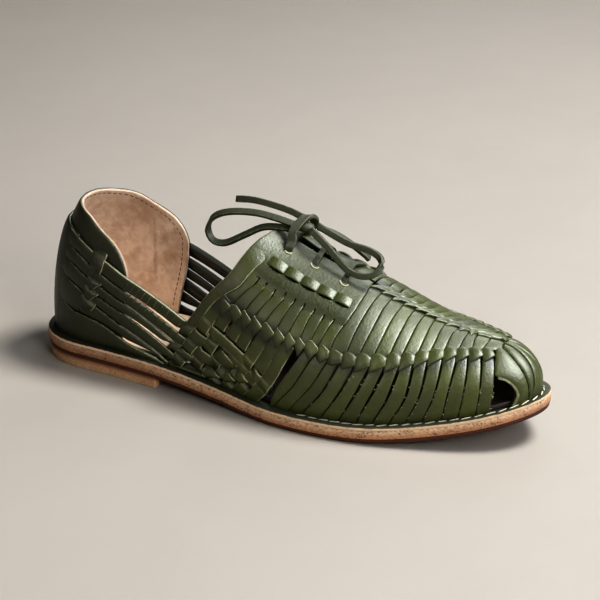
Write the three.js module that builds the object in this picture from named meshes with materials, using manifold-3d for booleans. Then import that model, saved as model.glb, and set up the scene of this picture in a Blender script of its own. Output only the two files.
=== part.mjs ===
// Woven lace-up shoe: a right shoe, its woven leather upper stitched down to a layered leather sole.
// Millimetres, +Z up, toe towards +X, lateral side towards -Y. It is drawn with its heel back at x 0.
import * as THREE from 'three';
import { mergeVertices } from 'three/addons/utils/BufferGeometryUtils.js';
import Module from 'manifold-3d';

const wasm = await Module();
wasm.setup();

// Sole sizes
const SOLE_LENGTH = 288;
const HEEL_ROUND = 36;
const HEEL_POWER = 2.2;
const TOE_ROUND = 76;
const TOE_POWER = 2.2;
const TOE_SWING = 5;
const SWING_START = 0.6;
const OUTSOLE_THICKNESS = 2.4;
const MIDSOLE_THICKNESS = 4.6;
const WELT_THICKNESS = 1.6;
const INSOLE_THICKNESS = 2.2;
const HEEL_LIFT = 6.2;
const HEEL_BREAST = 83;
const TOE_SPRING = 18;
const SPRING_START = 0.64;
const WAIST_START = 0.24;
const WAIST_END = 0.56;
const SEAM = 0.3;
const WELT_INSET = 0.4;
const OUTSOLE_INSET = 0.5;
const HEEL_INSET = 0.8;
const INSOLE_INSET = 8.3;
const SOLE_STATIONS = 26;

// Half widths of the sole either side of its axis
const OUTLINE = [
  { at: 0, lateral: 31, medial: 33.5 },
  { at: 40, lateral: 31, medial: 33.5 },
  { at: 80, lateral: 34, medial: 32.5 },
  { at: 120, lateral: 38, medial: 34 },
  { at: 160, lateral: 45, medial: 43 },
  { at: 200, lateral: 43.8, medial: 49.5 },
  { at: 240, lateral: 35.5, medial: 47.5 },
  { at: 288, lateral: 31, medial: 36 },
];

// Upper: each section rises from the featherline at x "at" to the ridge of the last, flatter on the medial side
const RIM_WIDTH = 5.5;
const WALL = 2;
const STRIP_RAISE = 0.9;
const STRIP_ROOT = 1;
const STRIP_BEVEL = 0.4;
const SWELL_REACH = 0.8;
const LAST = [
  { at: 5.5, ridge: 62, drift: 1.2, height: 110, lateral: 2.7, medial: 2.7, swell: 0.5 },
  { at: 60, ridge: 86, drift: 1, height: 113, lateral: 3.6, medial: 3.6, swell: 4 },
  { at: 110, ridge: 120, drift: 1, height: 108, lateral: 2.7, medial: 2.7, swell: 4 },
  { at: 150, ridge: 148, drift: 2, height: 86.5, lateral: 2.1, medial: 2.1, swell: 4 },
  { at: 195, ridge: 188, drift: 3.5, height: 70, lateral: 2, medial: 1.9, swell: 4 },
  { at: 235, ridge: 226, drift: 4.5, height: 56.5, lateral: 2, medial: 1.5, swell: 3.5 },
  { at: 282.5, ridge: 260, drift: 4.5, height: 49, lateral: 2.2, medial: 2.2, swell: 1 },
];
const OUTER_STATIONS = 26;
const OUTER_ROWS = 6;
const CORE_STATIONS = 18;
const CORE_ROWS = 5;
const CORE_DROP = 8;
const RIDGE_CLEAR = 0.98;
const STEP = 0.001;

// Collar seen from the side: the top line, the drop at the front of the counter, the top strap, the vamp edge
const COLLAR_TOP = [
  [12, 93], [21, 90.5], [33, 86], [45, 80.5], [54, 76.5], [61.5, 72], [66, 66], [67.6, 59.5],
];
const COLLAR_STRAP = [[88, 42.4], [104, 34]];
const COLLAR_VAMP = [[111, 33.5], [117, 46], [122.5, 58], [131, 76], [138, 85.5], [144, 91]];
const COLLAR_SKEW = 0.1;
const CUT_HEIGHT = 140;
const CUT_WIDTH = 160;
const CUT_STEPS = 3;

// Lacing
const THROAT = { back: 130, front: 190, backHalf: 3.5, frontHalf: 1.2, middle: 1.5, lean: 0.04, floor: 50 };
const EYELETS = [0.52, 0.557, 0.598];
const EYELET_RISE = 0.79;
const EYELET_RADIUS = 2.7;
const BAR_RADIUS = 1.5;
const BAR_LIFT = 3.2;
const BAR_TAIL = -3.4;
const BAR_SHOULDER = 0.88;
const CORD_RADIUS = 1.8;
const CORD_SIDES = 8;
const CORD_STEP = 6;
const BAR_STEP = 5;
const EYELET_SIDES = 10;

// Routes of the bow, tied over the instep
const CORD_ROUTES = {
  lace_knot: [[151, -6, 90.2], [153, -4, 95], [155, 0, 98.5], [157, 4, 95.5], [156, 6, 91.5]],
  lace_loop_rear: [
    [150.4, -4, 97.6], [140, -5, 99.2], [128.5, -6, 99.5], [114, -8, 98], [105, -9, 93], [102, -10, 85],
    [106, -11, 80], [113, -11, 80], [124, -9, 86], [134, -6, 91], [149.5, -4, 93.6],
  ],
  lace_loop_front: [
    [161, 0, 96], [169, 1, 91.5], [179, 1, 88], [189.5, 1, 87], [196, 0, 85], [199, -2, 82], [197, -5, 77.5],
    [190, -7, 75.5], [181.5, -7, 78], [171, -5, 86], [161, -5, 91],
  ],
  lace_end_rear: [[153, 1.4, 99.4], [144.5, 2.5, 100.5], [129, 4, 101], [120, 5, 101], [111.5, 6, 99.5]],
  lace_end_front: [[158.5, 6.3, 91.7], [167, 10, 88], [174, 13, 83], [181, 17, 76]],
};

// Weave, in shares: along the side from heel to toe, and up from the featherline to the ridge
const BRAID = [
  { at: 0.46, rise: 0.335 },
  { at: 0.56, rise: 0.335 },
  { at: 0.62, rise: 0.36 },
  { at: 0.7, rise: 0.455 },
  { at: 0.78, rise: 0.59 },
  { at: 0.85, rise: 0.645 },
];
const BRAID_EDGES = { start: 0.58, pitch: 0.0175, spread: 0.00022 };
const FOOT_EDGES = { start: 0.54, pitch: 0.0205, spread: 0.0002 };
const BRAID_FIRST = -6;
const BRAID_LAST = 13;
const BRAID_HALF = 0.04;
const BRAID_CLEAR = 0.058;
const KNUCKLE_WIDTH = 6;
const KNUCKLE_RAISE = 1.6;
const KNUCKLE_LEAN = 0.006;
const LOWER_SLITS = 14;
const LOWER_FOOT = 0.035;
const SLIT_WIDTH = 1.4;
const WIDE_SLIT_WIDTH = 4;
const UPPER_STRIPS = 10;
const UPPER_WIDTH = 5.8;
const UPPER_TOP = 0.88;
const UPPER_LEAN = 0.016;
const REAR_STRIPS = 8;
const REAR_WIDTH = 4.8;
const REAR = { foot: 0.463, footPitch: 0.0171, top: 0.492, topPitch: 0.0131, rise: 0.56, fall: -0.006 };
const PLAIT_LATERAL = 0.94;
const PLAIT_MEDIAL = 1.2;
const LOOPS = { count: 5, first: 0.513, pitch: 0.0215, rise: 0.67, half: 0.0085, width: 6, raise: 2 };
const WEAVE = { straps: 5, firstStrip: -8, lastStrip: -2, start: 0.38, level: 0.095, gap: 0.07, slope: -1.6 };
const WEAVE_LOW = 0.04;
const WEAVE_HIGH = 0.275;
const WEAVE_TILE = { half: 0.0085, width: 6.5 };

// Heel straps, as centre lines from the back of the heel to the waist
const HEEL_STRAPS = [
  { width: 9, line: [[0.1, 0.373], [0.21, 0.335], [0.295, 0.272], [0.385, 0.158]] },
  { width: 9.5, line: [[0.08, 0.28], [0.2, 0.256], [0.3, 0.195], [0.375, 0.1]] },
  { width: 9, line: [[0.08, 0.17], [0.2, 0.158], [0.3, 0.105], [0.36, 0.05]] },
  { width: 7, line: [[0.08, 0.065], [0.19, 0.059], [0.3, 0.03]] },
];
const STRAP_GAPS = [
  { width: 2.6, line: [[0.295, 0.24], [0.383, 0.128]] },
  { width: 2.8, line: [[0.3, 0.152], [0.368, 0.075]] },
  { width: 2.2, line: [[0.3, 0.058], [0.35, 0.022]] },
];
const KEEPERS = [[[0.246, 0.375], [0.236, 0.29]], [[0.222, 0.205], [0.212, 0.12]]];
const KEEPER_WIDTH = 8;
const KEEPER_RAISE = 1.9;

// Toe: a D-shaped opening each side, two strips beside it and one at the front
const TOE_OPENING = { start: 0.85, reach: 0.052, rise: 0.22, half: 0.155, points: 8 };
const TOE_STRIPS = [
  { width: 7, line: [[0.876, 0.62], [0.91, 0.46], [0.922, 0.27], [0.924, 0.04]] },
  { width: 6, line: [[0.945, 0.64], [0.95, 0.44], [0.951, 0.24], [0.946, 0.04]] },
];
const FRONT_STRIP = { width: 8, line: [[1, 0.7], [1, 0.44], [1, 0.22], [1, 0.04]] };

const GREEN_LEATHER = { color: 0x3d4729, roughness: 0.5, metalness: 0 };
const GREEN_RIM = { color: 0x333d25, roughness: 0.6, metalness: 0 };
const TAN_EDGE = { color: 0xc58f68, roughness: 0.75, metalness: 0 };
const DARK_BROWN = { color: 0x54301f, roughness: 0.7, metalness: 0 };
const TAN_LINING = { color: 0xd6ad84, roughness: 0.85, metalness: 0 };

// Smooth value of one column of a table at a place along it
function along(rows, column, at) {
  const last = rows.length - 1;
  let i = 0;
  while (i < last - 1 && at > rows[i + 1].at) i += 1;
  const slope = (k) => {
    const before = rows[Math.max(k - 1, 0)];
    const after = rows[Math.min(k + 1, last)];
    return (after[column] - before[column]) / (after.at - before.at);
  };
  const span = rows[i + 1].at - rows[i].at;
  const u = THREE.MathUtils.clamp((at - rows[i].at) / span, 0, 1);
  const v = 1 - u;
  const ends = rows[i][column] * (1 + 2 * u) * v * v + rows[i + 1][column] * u * u * (3 - 2 * u);
  return ends + span * u * v * (slope(i) * v - slope(i + 1) * u);
}

// Turn 0 is the heel back, 1 the toe tip, 2 the heel again by the medial side
function wholeTurn(turn) {
  return ((turn % 2) + 2) % 2;
}

function sideName(turn) {
  return wholeTurn(turn) <= 1 ? 'lateral' : 'medial';
}

// Plan point of the sole's edge
function edge(turn, inset) {
  const round = wholeTurn(turn);
  const side = round <= 1 ? -1 : 1;
  const share = round <= 1 ? round : 2 - round;
  const length = SOLE_LENGTH - 2 * inset;
  const run = length * (1 - Math.cos(Math.PI * share)) / 2;
  const x = run + inset;
  const half = along(OUTLINE, sideName(turn), x) - inset;
  const heel = 1 - Math.max(1 - run / HEEL_ROUND, 0) ** HEEL_POWER;
  const toe = 1 - Math.max(1 - (length - run) / (TOE_ROUND - inset), 0) ** TOE_POWER;
  const swing = TOE_SWING * Math.max((x / SOLE_LENGTH - SWING_START) / (1 - SWING_START), 0) ** 2;
  return new THREE.Vector2(x, side * half * heel ** (1 / HEEL_POWER) * Math.sqrt(toe) + swing);
}

function midsoleUnderside(x) {
  const share = x / SOLE_LENGTH;
  const waist = THREE.MathUtils.smoothstep(share, WAIST_START, WAIST_END);
  const curl = Math.max((share - SPRING_START) / (1 - SPRING_START), 0);
  return OUTSOLE_THICKNESS + HEEL_LIFT * (1 - waist) + TOE_SPRING * curl * curl;
}

function weltTop(x) {
  return midsoleUnderside(x) + MIDSOLE_THICKNESS + WELT_THICKNESS;
}

// Outer face of the plain wall: rise 0 is the featherline, 1 the ridge, and past 1 the other side
function shell(turn, rise) {
  const over = rise > 1;
  const place = over ? 2 - turn : turn;
  const height = over ? 2 - rise : rise;
  const foot = edge(place, RIM_WIDTH);
  const before = edge(place - STEP, RIM_WIDTH);
  const after = edge(place + STEP, RIM_WIDTH);
  const outward = new THREE.Vector2(after.y - before.y, before.x - after.x).normalize();
  const angle = height * Math.PI / 2;
  const inward = 1 - Math.max(Math.cos(angle), 0) ** (2 / along(LAST, sideName(place), foot.x));
  const bulge = along(LAST, 'swell', foot.x) * Math.sin(Math.PI * Math.min(height / SWELL_REACH, 1));
  const footHeight = weltTop(foot.x) + SEAM;
  return new THREE.Vector3(
    THREE.MathUtils.lerp(foot.x, along(LAST, 'ridge', foot.x), inward) + outward.x * bulge,
    THREE.MathUtils.lerp(foot.y, along(LAST, 'drift', foot.x), inward) + outward.y * bulge,
    THREE.MathUtils.lerp(footHeight, along(LAST, 'height', foot.x), Math.sin(angle)),
  );
}

function shellNormal(turn, rise) {
  const clear = rise > 1 ? Math.max(rise, 2 - RIDGE_CLEAR) : Math.min(rise, RIDGE_CLEAR);
  const round = shell(turn + STEP, clear).sub(shell(turn - STEP, clear));
  const up = shell(turn, clear + STEP).sub(shell(turn, clear - STEP));
  return round.cross(up).normalize();
}

function lifted(turn, rise, lift) {
  return shell(turn, rise).addScaledVector(shellNormal(turn, rise), lift);
}

// Closed meshes to solids and back
function solidFrom(points, triangles) {
  const vertProperties = new Float32Array(points.flatMap((p) => p.toArray()));
  const triVerts = new Uint32Array(triangles.flat());
  return new wasm.Manifold(new wasm.Mesh({ numProp: 3, vertProperties, triVerts }));
}

function solidOf(geometry) {
  const bare = geometry.clone();
  bare.deleteAttribute('normal');
  bare.deleteAttribute('uv');
  const merged = mergeVertices(bare);
  const vertProperties = new Float32Array(merged.attributes.position.array);
  const triVerts = new Uint32Array(merged.index.array);
  return new wasm.Manifold(new wasm.Mesh({ numProp: 3, vertProperties, triVerts }));
}

function geometryOf(solid) {
  const mesh = solid.getMesh();
  const geometry = new THREE.BufferGeometry();
  const positions = new Float32Array(mesh.vertProperties);
  geometry.setAttribute('position', new THREE.BufferAttribute(positions, mesh.numProp));
  geometry.setIndex(new THREE.BufferAttribute(new Uint32Array(mesh.triVerts), 1));
  geometry.computeVertexNormals();
  return geometry;
}

function quad(a, b, c, d) {
  return [[a, b, c], [a, c, d]].filter(([p, q, r]) => p !== q && q !== r && r !== p);
}

// Layer of the sole between two heights, from the heel back to a share of the length
function slab(inset, under, over, end = 1) {
  const shares = Array.from({ length: SOLE_STATIONS + 1 }, (_, i) => end * i / SOLE_STATIONS);
  const medial = shares.slice(1, end === 1 ? SOLE_STATIONS : undefined).reverse();
  const turns = [...shares, ...medial.map((share) => 2 - share)];
  const plan = turns.map((turn) => edge(turn, inset));
  const count = plan.length;
  const points = [under, over].flatMap((height) => plan.map((p) => new THREE.Vector3(p.x, p.y, height(p.x))));
  const triangles = turns.flatMap((_, k) => {
    const next = (k + 1) % count;
    return quad(k, next, next + count, k + count);
  });
  for (let i = 0; i < SOLE_STATIONS; i += 1) {
    const here = (count - i) % count;
    const ahead = count - i - 1;
    triangles.push(...quad(i, here, ahead, i + 1));
    triangles.push(...quad(i + count, i + 1 + count, ahead + count, here + count));
  }
  return geometryOf(solidFrom(points, triangles));
}

// Closed dome over the last, lifted off its outer face and closed underneath
function dome(stations, rows, lift, drop) {
  const count = 2 * stations;
  const points = [];
  const triangles = [];
  for (let j = -1; j < rows; j += 1) {
    for (let k = 0; k < count; k += 1) {
      const point = lifted(k / stations, Math.max(j, 0) / rows, lift);
      if (j < 0) point.z -= drop;
      points.push(point);
    }
  }
  const ridge = points.length;
  for (let i = 0; i <= stations; i += 1) points.push(lifted(i / stations, 1, lift));
  const ridgeIndex = (k) => ridge + Math.min(k, count - k);
  for (let k = 0; k < count; k += 1) {
    const next = (k + 1) % count;
    for (let j = 0; j < rows; j += 1) {
      triangles.push(...quad(j * count + k, j * count + next, (j + 1) * count + next, (j + 1) * count + k));
    }
    triangles.push(...quad(rows * count + k, rows * count + next, ridgeIndex(k + 1), ridgeIndex(k)));
  }
  for (let i = 0; i < stations; i += 1) triangles.push(...quad(i, (count - i) % count, count - i - 1, i + 1));
  return solidFrom(points, triangles);
}

// Band lying on the wall along a line of [turn, rise, extra lift] rows
function band(line, width, top, root, bevel = 0) {
  const centre = line.map(([turn, rise]) => shell(turn, rise));
  const points = [];
  const triangles = [];
  line.forEach(([turn, rise, extra = 0], i) => {
    const normal = shellNormal(turn, rise);
    const ahead = centre[Math.min(i + 1, line.length - 1)];
    const heading = ahead.clone().sub(centre[Math.max(i - 1, 0)]);
    const across = heading.cross(normal).normalize();
    const corner = (offset, lift) => {
      return centre[i].clone().addScaledVector(across, offset).addScaledVector(normal, lift);
    };
    const half = width / 2;
    points.push(corner(bevel - half, top + extra), corner(half - bevel, top + extra));
    points.push(corner(half, -root), corner(-half, -root));
    if (i === 0) return;
    const at = 4 * i;
    for (let c = 0; c < 4; c += 1) {
      const next = (c + 1) % 4;
      triangles.push(...quad(at - 4 + c, at - 4 + next, at + next, at + c));
    }
  });
  const end = points.length - 4;
  triangles.push(...quad(3, 2, 1, 0), ...quad(end, end + 1, end + 2, end + 3));
  return solidFrom(points, triangles);
}

function strip(line, width, raise = STRIP_RAISE) {
  return band(line, width, raise, STRIP_ROOT, STRIP_BEVEL);
}

function slit(line, width) {
  return band(line, width, 2 * WALL, 3 * WALL);
}

function straight(from, to, segments) {
  const lerp = THREE.MathUtils.lerp;
  return Array.from({ length: segments + 1 }, (_, i) => [
    lerp(from[0], to[0], i / segments),
    lerp(from[1], to[1], i / segments),
  ]);
}

function mirrored(line) {
  return line.map(([turn, rise, extra]) => [2 - turn, rise, extra]);
}

// Place of a forefoot strip's edge at the braid and at the sole
function spaced(row, i) {
  return row.start + row.pitch * i + row.spread * i * i;
}

function braidShare(i) {
  return spaced(BRAID_EDGES, i);
}

function footShare(i) {
  return spaced(FOOT_EDGES, i);
}

function braidRise(share) {
  return along(BRAID, 'rise', share);
}

function lowerLine(i) {
  const top = braidShare(i);
  return straight([footShare(i), LOWER_FOOT], [top, braidRise(top) - BRAID_CLEAR], 1);
}

function braidKnuckle(i) {
  const share = braidShare(i);
  const rise = braidRise(share);
  return [[share - KNUCKLE_LEAN, rise - BRAID_HALF], [share + KNUCKLE_LEAN, rise + BRAID_HALF]];
}

function upperLine(i) {
  const foot = braidShare(i);
  return straight([foot, braidRise(foot) + BRAID_CLEAR], [foot + UPPER_LEAN, UPPER_TOP], 2);
}

// Short strips that come out of slits below the eyelet panel
function rearLine(k) {
  const foot = REAR.foot + REAR.footPitch * k;
  const top = [REAR.top + REAR.topPitch * k, REAR.rise + REAR.fall * k];
  return straight([foot, braidRise(foot) + BRAID_CLEAR], top, 2);
}

function plaitTile(i) {
  const share = braidShare(i) + UPPER_LEAN;
  return straight([share, PLAIT_LATERAL], [share, PLAIT_MEDIAL], 2);
}

function thongLoop(k) {
  const share = LOOPS.first + LOOPS.pitch * k;
  return [
    [share - LOOPS.half, LOOPS.rise, 0],
    [share, LOOPS.rise, LOOPS.raise - STRIP_RAISE],
    [share + LOOPS.half, LOOPS.rise, 0],
  ];
}

// Crossings of the waist's basket weave where a strap passes over a strip
function weaveTiles() {
  const tiles = [];
  for (let i = WEAVE.firstStrip; i <= WEAVE.lastStrip; i += 1) {
    const [foot, top] = lowerLine(i + 0.5);
    const lean = (top[0] - foot[0]) / (top[1] - foot[1]);
    for (let j = Math.abs(i % 2); j < WEAVE.straps; j += 2) {
      const level = WEAVE.level + WEAVE.gap * j + WEAVE.slope * (foot[0] - WEAVE.start);
      const rise = level / (1 - WEAVE.slope * lean);
      const share = foot[0] + lean * rise;
      const climb = WEAVE_TILE.half * WEAVE.slope;
      if (rise < WEAVE_LOW || rise > WEAVE_HIGH) continue;
      tiles.push([[share - WEAVE_TILE.half, rise - climb], [share + WEAVE_TILE.half, rise + climb]]);
    }
  }
  return tiles;
}

function range(first, last, step = 1) {
  return Array.from({ length: Math.floor((last - first) / step) + 1 }, (_, i) => first + i * step);
}

// Raised leather of one side, as [line, width, raise] rows: every other strip stands over its neighbours
function sideStrips() {
  return [
    ...HEEL_STRAPS.map(({ line, width }) => [line, width]),
    ...KEEPERS.map((line) => [line, KEEPER_WIDTH, KEEPER_RAISE]),
    ...weaveTiles().map((line) => [line, WEAVE_TILE.width]),
    ...range(BRAID_FIRST, BRAID_LAST).map((i) => [braidKnuckle(i), KNUCKLE_WIDTH, KNUCKLE_RAISE]),
    ...range(0, REAR_STRIPS - 1, 2).map((k) => [rearLine(k + 0.5), REAR_WIDTH]),
    ...range(1, UPPER_STRIPS, 2).map((i) => [upperLine(i), UPPER_WIDTH]),
    ...range(0, LOOPS.count - 1).map((k) => [thongLoop(k), LOOPS.width]),
    ...TOE_STRIPS.map(({ line, width }) => [line, width]),
  ];
}

function sideGaps() {
  const slits = range(-1, LOWER_SLITS - 2).map((i) => [lowerLine(i), i < 0 ? WIDE_SLIT_WIDTH : SLIT_WIDTH]);
  return [...slits, ...STRAP_GAPS.map(({ line, width }) => [line, width])];
}

// Opening through the wall with an outline in shares
function opening(outline) {
  const count = outline.length;
  const face = (lift) => outline.map(([turn, rise]) => lifted(turn, rise, lift));
  const points = [...face(2 * WALL), ...face(-3 * WALL)];
  const triangles = outline.flatMap((_, k) => {
    const next = (k + 1) % count;
    return quad(k, next, next + count, k + count);
  });
  for (let k = 1; k < count - 1; k += 1) {
    triangles.push([0, k + 1, k], [count, count + k, count + k + 1]);
  }
  return solidFrom(points, triangles);
}

function toeOpening(mirror) {
  const outline = range(0, TOE_OPENING.points - 1).map((k) => {
    const angle = Math.PI * (k / (TOE_OPENING.points - 1) - 0.5);
    const share = TOE_OPENING.start + TOE_OPENING.reach * Math.cos(angle);
    return [share, TOE_OPENING.rise + TOE_OPENING.half * Math.sin(angle)];
  });
  return opening(mirror ? mirrored(outline) : outline.reverse());
}

function eyeletHole(turn, rise) {
  const length = 6 * WALL;
  const hole = new THREE.CylinderGeometry(EYELET_RADIUS, EYELET_RADIUS, length, EYELET_SIDES);
  const upright = new THREE.Vector3(0, 1, 0);
  hole.applyQuaternion(new THREE.Quaternion().setFromUnitVectors(upright, shellNormal(turn, rise)));
  hole.translate(...shell(turn, rise).toArray());
  return solidOf(hole);
}

// Everything above the collar line, as one prism across the shoe
function collarCut() {
  const toVectors = (rows) => rows.map(([x, z]) => new THREE.Vector2(x, z));
  const shape = new THREE.Shape();
  shape.moveTo(-CUT_WIDTH, COLLAR_TOP[0][1]);
  shape.lineTo(...COLLAR_TOP[0]);
  shape.splineThru(toVectors(COLLAR_TOP.slice(1)));
  shape.splineThru(toVectors(COLLAR_STRAP));
  shape.splineThru(toVectors(COLLAR_VAMP));
  shape.lineTo(COLLAR_VAMP.at(-1)[0], CUT_HEIGHT);
  shape.lineTo(-CUT_WIDTH, CUT_HEIGHT);
  const options = { depth: CUT_WIDTH, bevelEnabled: false, curveSegments: CUT_STEPS };
  const prism = new THREE.ExtrudeGeometry(shape, options);
  prism.rotateX(Math.PI / 2).translate(0, CUT_WIDTH / 2, 0);
  prism.applyMatrix4(new THREE.Matrix4().makeShear(0, 0, COLLAR_SKEW, 0, 0, 0));
  return solidOf(prism);
}

function throatCut() {
  const { back, front, backHalf, frontHalf, middle, lean } = THROAT;
  const frontMiddle = middle + lean * (front - back);
  const shape = new THREE.Shape();
  shape.moveTo(back, middle - backHalf);
  shape.lineTo(front, frontMiddle - frontHalf);
  shape.lineTo(front, frontMiddle + frontHalf);
  shape.lineTo(back, middle + backHalf);
  const prism = new THREE.ExtrudeGeometry(shape, { depth: CUT_HEIGHT, bevelEnabled: false });
  return solidOf(prism.translate(0, 0, THROAT.floor));
}

function upperGeometry() {
  const strips = sideStrips();
  const gaps = sideGaps();
  const raised = strips.flatMap(([line, width, raise]) => {
    return [strip(line, width, raise), strip(mirrored(line), width, raise)];
  });
  raised.push(...range(2, UPPER_STRIPS, 2).map((i) => strip(plaitTile(i), UPPER_WIDTH)));
  raised.push(strip(FRONT_STRIP.line, FRONT_STRIP.width));
  const cuts = gaps.flatMap(([line, width]) => [slit(line, width), slit(mirrored(line), width)]);
  cuts.push(...EYELETS.flatMap((turn) => [eyeletHole(turn, EYELET_RISE), eyeletHole(2 - turn, EYELET_RISE)]));
  cuts.push(toeOpening(false), toeOpening(true), collarCut(), throatCut());
  const core = dome(CORE_STATIONS, CORE_ROWS, -WALL, CORE_DROP);
  const skin = dome(OUTER_STATIONS, OUTER_ROWS, 0, 0).add(wasm.Manifold.union(raised));
  return geometryOf(skin.subtract(core).subtract(wasm.Manifold.union(cuts)));
}

// Round lace along a smooth line of points
function cord(points, radius, step) {
  const path = new THREE.CatmullRomCurve3(points);
  const round = range(0, CORD_SIDES - 1).map((k) => {
    const angle = 2 * Math.PI * k / CORD_SIDES;
    return new THREE.Vector2(radius * Math.cos(angle), radius * Math.sin(angle));
  });
  const steps = Math.ceil(path.getLength() / step);
  return new THREE.ExtrudeGeometry(new THREE.Shape(round), { steps, extrudePath: path, bevelEnabled: false });
}

function laceBar(turn) {
  const legs = [[EYELET_RISE, BAR_TAIL], [EYELET_RISE, BAR_LIFT / 2]];
  const rows = [...legs, [BAR_SHOULDER, BAR_LIFT], [1, BAR_LIFT]];
  const far = rows.slice(0, -1).reverse().map(([rise, lift]) => [2 - rise, lift]);
  return cord([...rows, ...far].map(([rise, lift]) => lifted(turn, rise, lift)), BAR_RADIUS, BAR_STEP);
}

const shoe = new THREE.Group();

function addPart(name, geometry, finish) {
  const mesh = new THREE.Mesh(geometry, new THREE.MeshStandardMaterial(finish));
  mesh.name = name;
  shoe.add(mesh);
}

const outsoleUnderside = (x) => midsoleUnderside(x) - OUTSOLE_THICKNESS;
const insoleUnderside = (x) => weltTop(x) + SEAM;
const insoleTop = (x) => insoleUnderside(x) + INSOLE_THICKNESS;
const midsoleTop = (x) => midsoleUnderside(x) + MIDSOLE_THICKNESS;
const breastShare = Math.acos(1 - 2 * HEEL_BREAST / SOLE_LENGTH) / Math.PI;
addPart('heel', slab(HEEL_INSET, () => 0, (x) => outsoleUnderside(x) - SEAM, breastShare), TAN_EDGE);
addPart('outsole', slab(OUTSOLE_INSET, outsoleUnderside, (x) => midsoleUnderside(x) - SEAM), DARK_BROWN);
addPart('midsole', slab(0, midsoleUnderside, (x) => midsoleTop(x) - SEAM), TAN_EDGE);
addPart('welt', slab(WELT_INSET, midsoleTop, weltTop), GREEN_RIM);
addPart('insole', slab(INSOLE_INSET, insoleUnderside, insoleTop), TAN_LINING);
addPart('upper', upperGeometry(), GREEN_LEATHER);
EYELETS.forEach((turn, i) => addPart(`lace_bar_${i + 1}`, laceBar(turn), GREEN_LEATHER));

// The origin goes to the middle of the base before the loose cords are added
const box = new THREE.Box3().setFromObject(shoe);
const middle = box.getCenter(new THREE.Vector3());
Object.entries(CORD_ROUTES).forEach(([name, route]) => {
  addPart(name, cord(route.map((p) => new THREE.Vector3(...p)), CORD_RADIUS, CORD_STEP), GREEN_LEATHER);
});
shoe.position.set(-middle.x, -middle.y, 0);

export default shoe;
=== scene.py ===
import math

import bpy
import numpy as np
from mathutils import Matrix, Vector


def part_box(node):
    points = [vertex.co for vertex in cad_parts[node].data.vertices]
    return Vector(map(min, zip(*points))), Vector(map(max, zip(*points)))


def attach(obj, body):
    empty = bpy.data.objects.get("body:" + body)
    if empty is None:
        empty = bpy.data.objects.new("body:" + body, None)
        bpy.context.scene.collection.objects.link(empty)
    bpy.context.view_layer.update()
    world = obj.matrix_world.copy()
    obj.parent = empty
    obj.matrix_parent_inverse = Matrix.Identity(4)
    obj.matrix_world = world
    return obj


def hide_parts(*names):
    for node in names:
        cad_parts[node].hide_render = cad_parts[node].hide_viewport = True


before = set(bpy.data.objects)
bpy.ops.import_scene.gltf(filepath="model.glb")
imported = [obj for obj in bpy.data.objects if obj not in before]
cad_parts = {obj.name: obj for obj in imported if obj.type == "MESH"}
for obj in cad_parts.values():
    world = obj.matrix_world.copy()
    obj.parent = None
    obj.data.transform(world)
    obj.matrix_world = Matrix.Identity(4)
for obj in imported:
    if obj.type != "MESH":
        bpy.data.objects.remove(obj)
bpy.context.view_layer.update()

bl_info = {
    "name": "Woven lace-up shoe",
    "version": (1, 0, 0),
    "blender": (4, 5, 0),
    "location": "3D View > Sidebar > Shoe",
    "description": "Dresses the packed shoe in woven leather, laces, sole edges and thread",
    "category": "Object",
}

MM = 0.001

# The last and the sole, in millimetres from the back of the heel. The shoe points along +x,
# its outer side is -y. A place on the last is a turn and a rise: turn 0 is the back of the heel,
# 1 the toe tip by way of the outer side, 2 the heel again; rise 0 is the foot of the upper, 1 the ridge.
SOLE_LENGTH = 288.0
HEEL_ROUND = 36.0
HEEL_POWER = 2.2
TOE_ROUND = 76.0
TOE_POWER = 2.2
TOE_SWING = 5.0
SWING_FROM = 0.6
OUTSOLE = 2.4
MIDSOLE = 4.6
WELT = 1.6
INSOLE = 2.2
HEEL_LIFT = 6.2
HEEL_BREAST = 83.0
TOE_SPRING = 18.0
SPRING_FROM = 0.64
WAIST_FROM = 0.24
WAIST_TO = 0.56
SEAM = 0.3
RIM_WIDTH = 5.5
SWELL_REACH = 0.8
STEP = 0.001
RIDGE_CLEAR = 0.98

# Station along the sole, half width of the outer side, half width of the inner side.
OUTLINE = np.array([
    [0, 31, 33.5], [40, 31, 33.5], [80, 34, 32.5], [120, 38, 34],
    [160, 45, 43], [200, 43.8, 49.5], [240, 35.5, 47.5], [288, 31, 36],
])
# Station, ridge station, ridge drift, ridge height, outer fullness, inner fullness, swell.
LAST = np.array([
    [5.5, 62, 1.2, 110, 2.7, 2.7, 0.5], [60, 86, 1, 113, 3.6, 3.6, 4], [110, 120, 1, 108, 2.7, 2.7, 4],
    [150, 148, 2, 86.5, 2.1, 2.1, 4], [195, 188, 3.5, 70, 2, 1.9, 4], [235, 226, 4.5, 56.5, 2, 1.5, 3.5],
    [282.5, 260, 4.5, 49, 2.2, 2.2, 1],
])
RIDGE, DRIFT, HEIGHT, OUTER_FULL, INNER_FULL, SWELL = range(1, 7)


def along(table, column, at):
    """Smooth value of a table's column at a station of its first column."""
    places, values = table[:, 0], table[:, column]
    last = len(places) - 1
    ahead = np.minimum(np.arange(last + 1) + 1, last)
    behind = np.maximum(np.arange(last + 1) - 1, 0)
    slopes = (values[ahead] - values[behind]) / (places[ahead] - places[behind])
    at = np.asarray(at, float)
    i = np.searchsorted(places[1:-1], at)
    span = places[i + 1] - places[i]
    u = np.clip((at - places[i]) / span, 0, 1)
    v = 1 - u
    ends = values[i] * (1 + 2 * u) * v * v + values[i + 1] * u * u * (3 - 2 * u)
    return ends + span * u * v * (slopes[i] * v - slopes[i + 1] * u)


def smoothstep(value, low, high):
    """Eased share of the way from low to high."""
    share = np.clip((value - low) / (high - low), 0, 1)
    return share * share * (3 - 2 * share)


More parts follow.
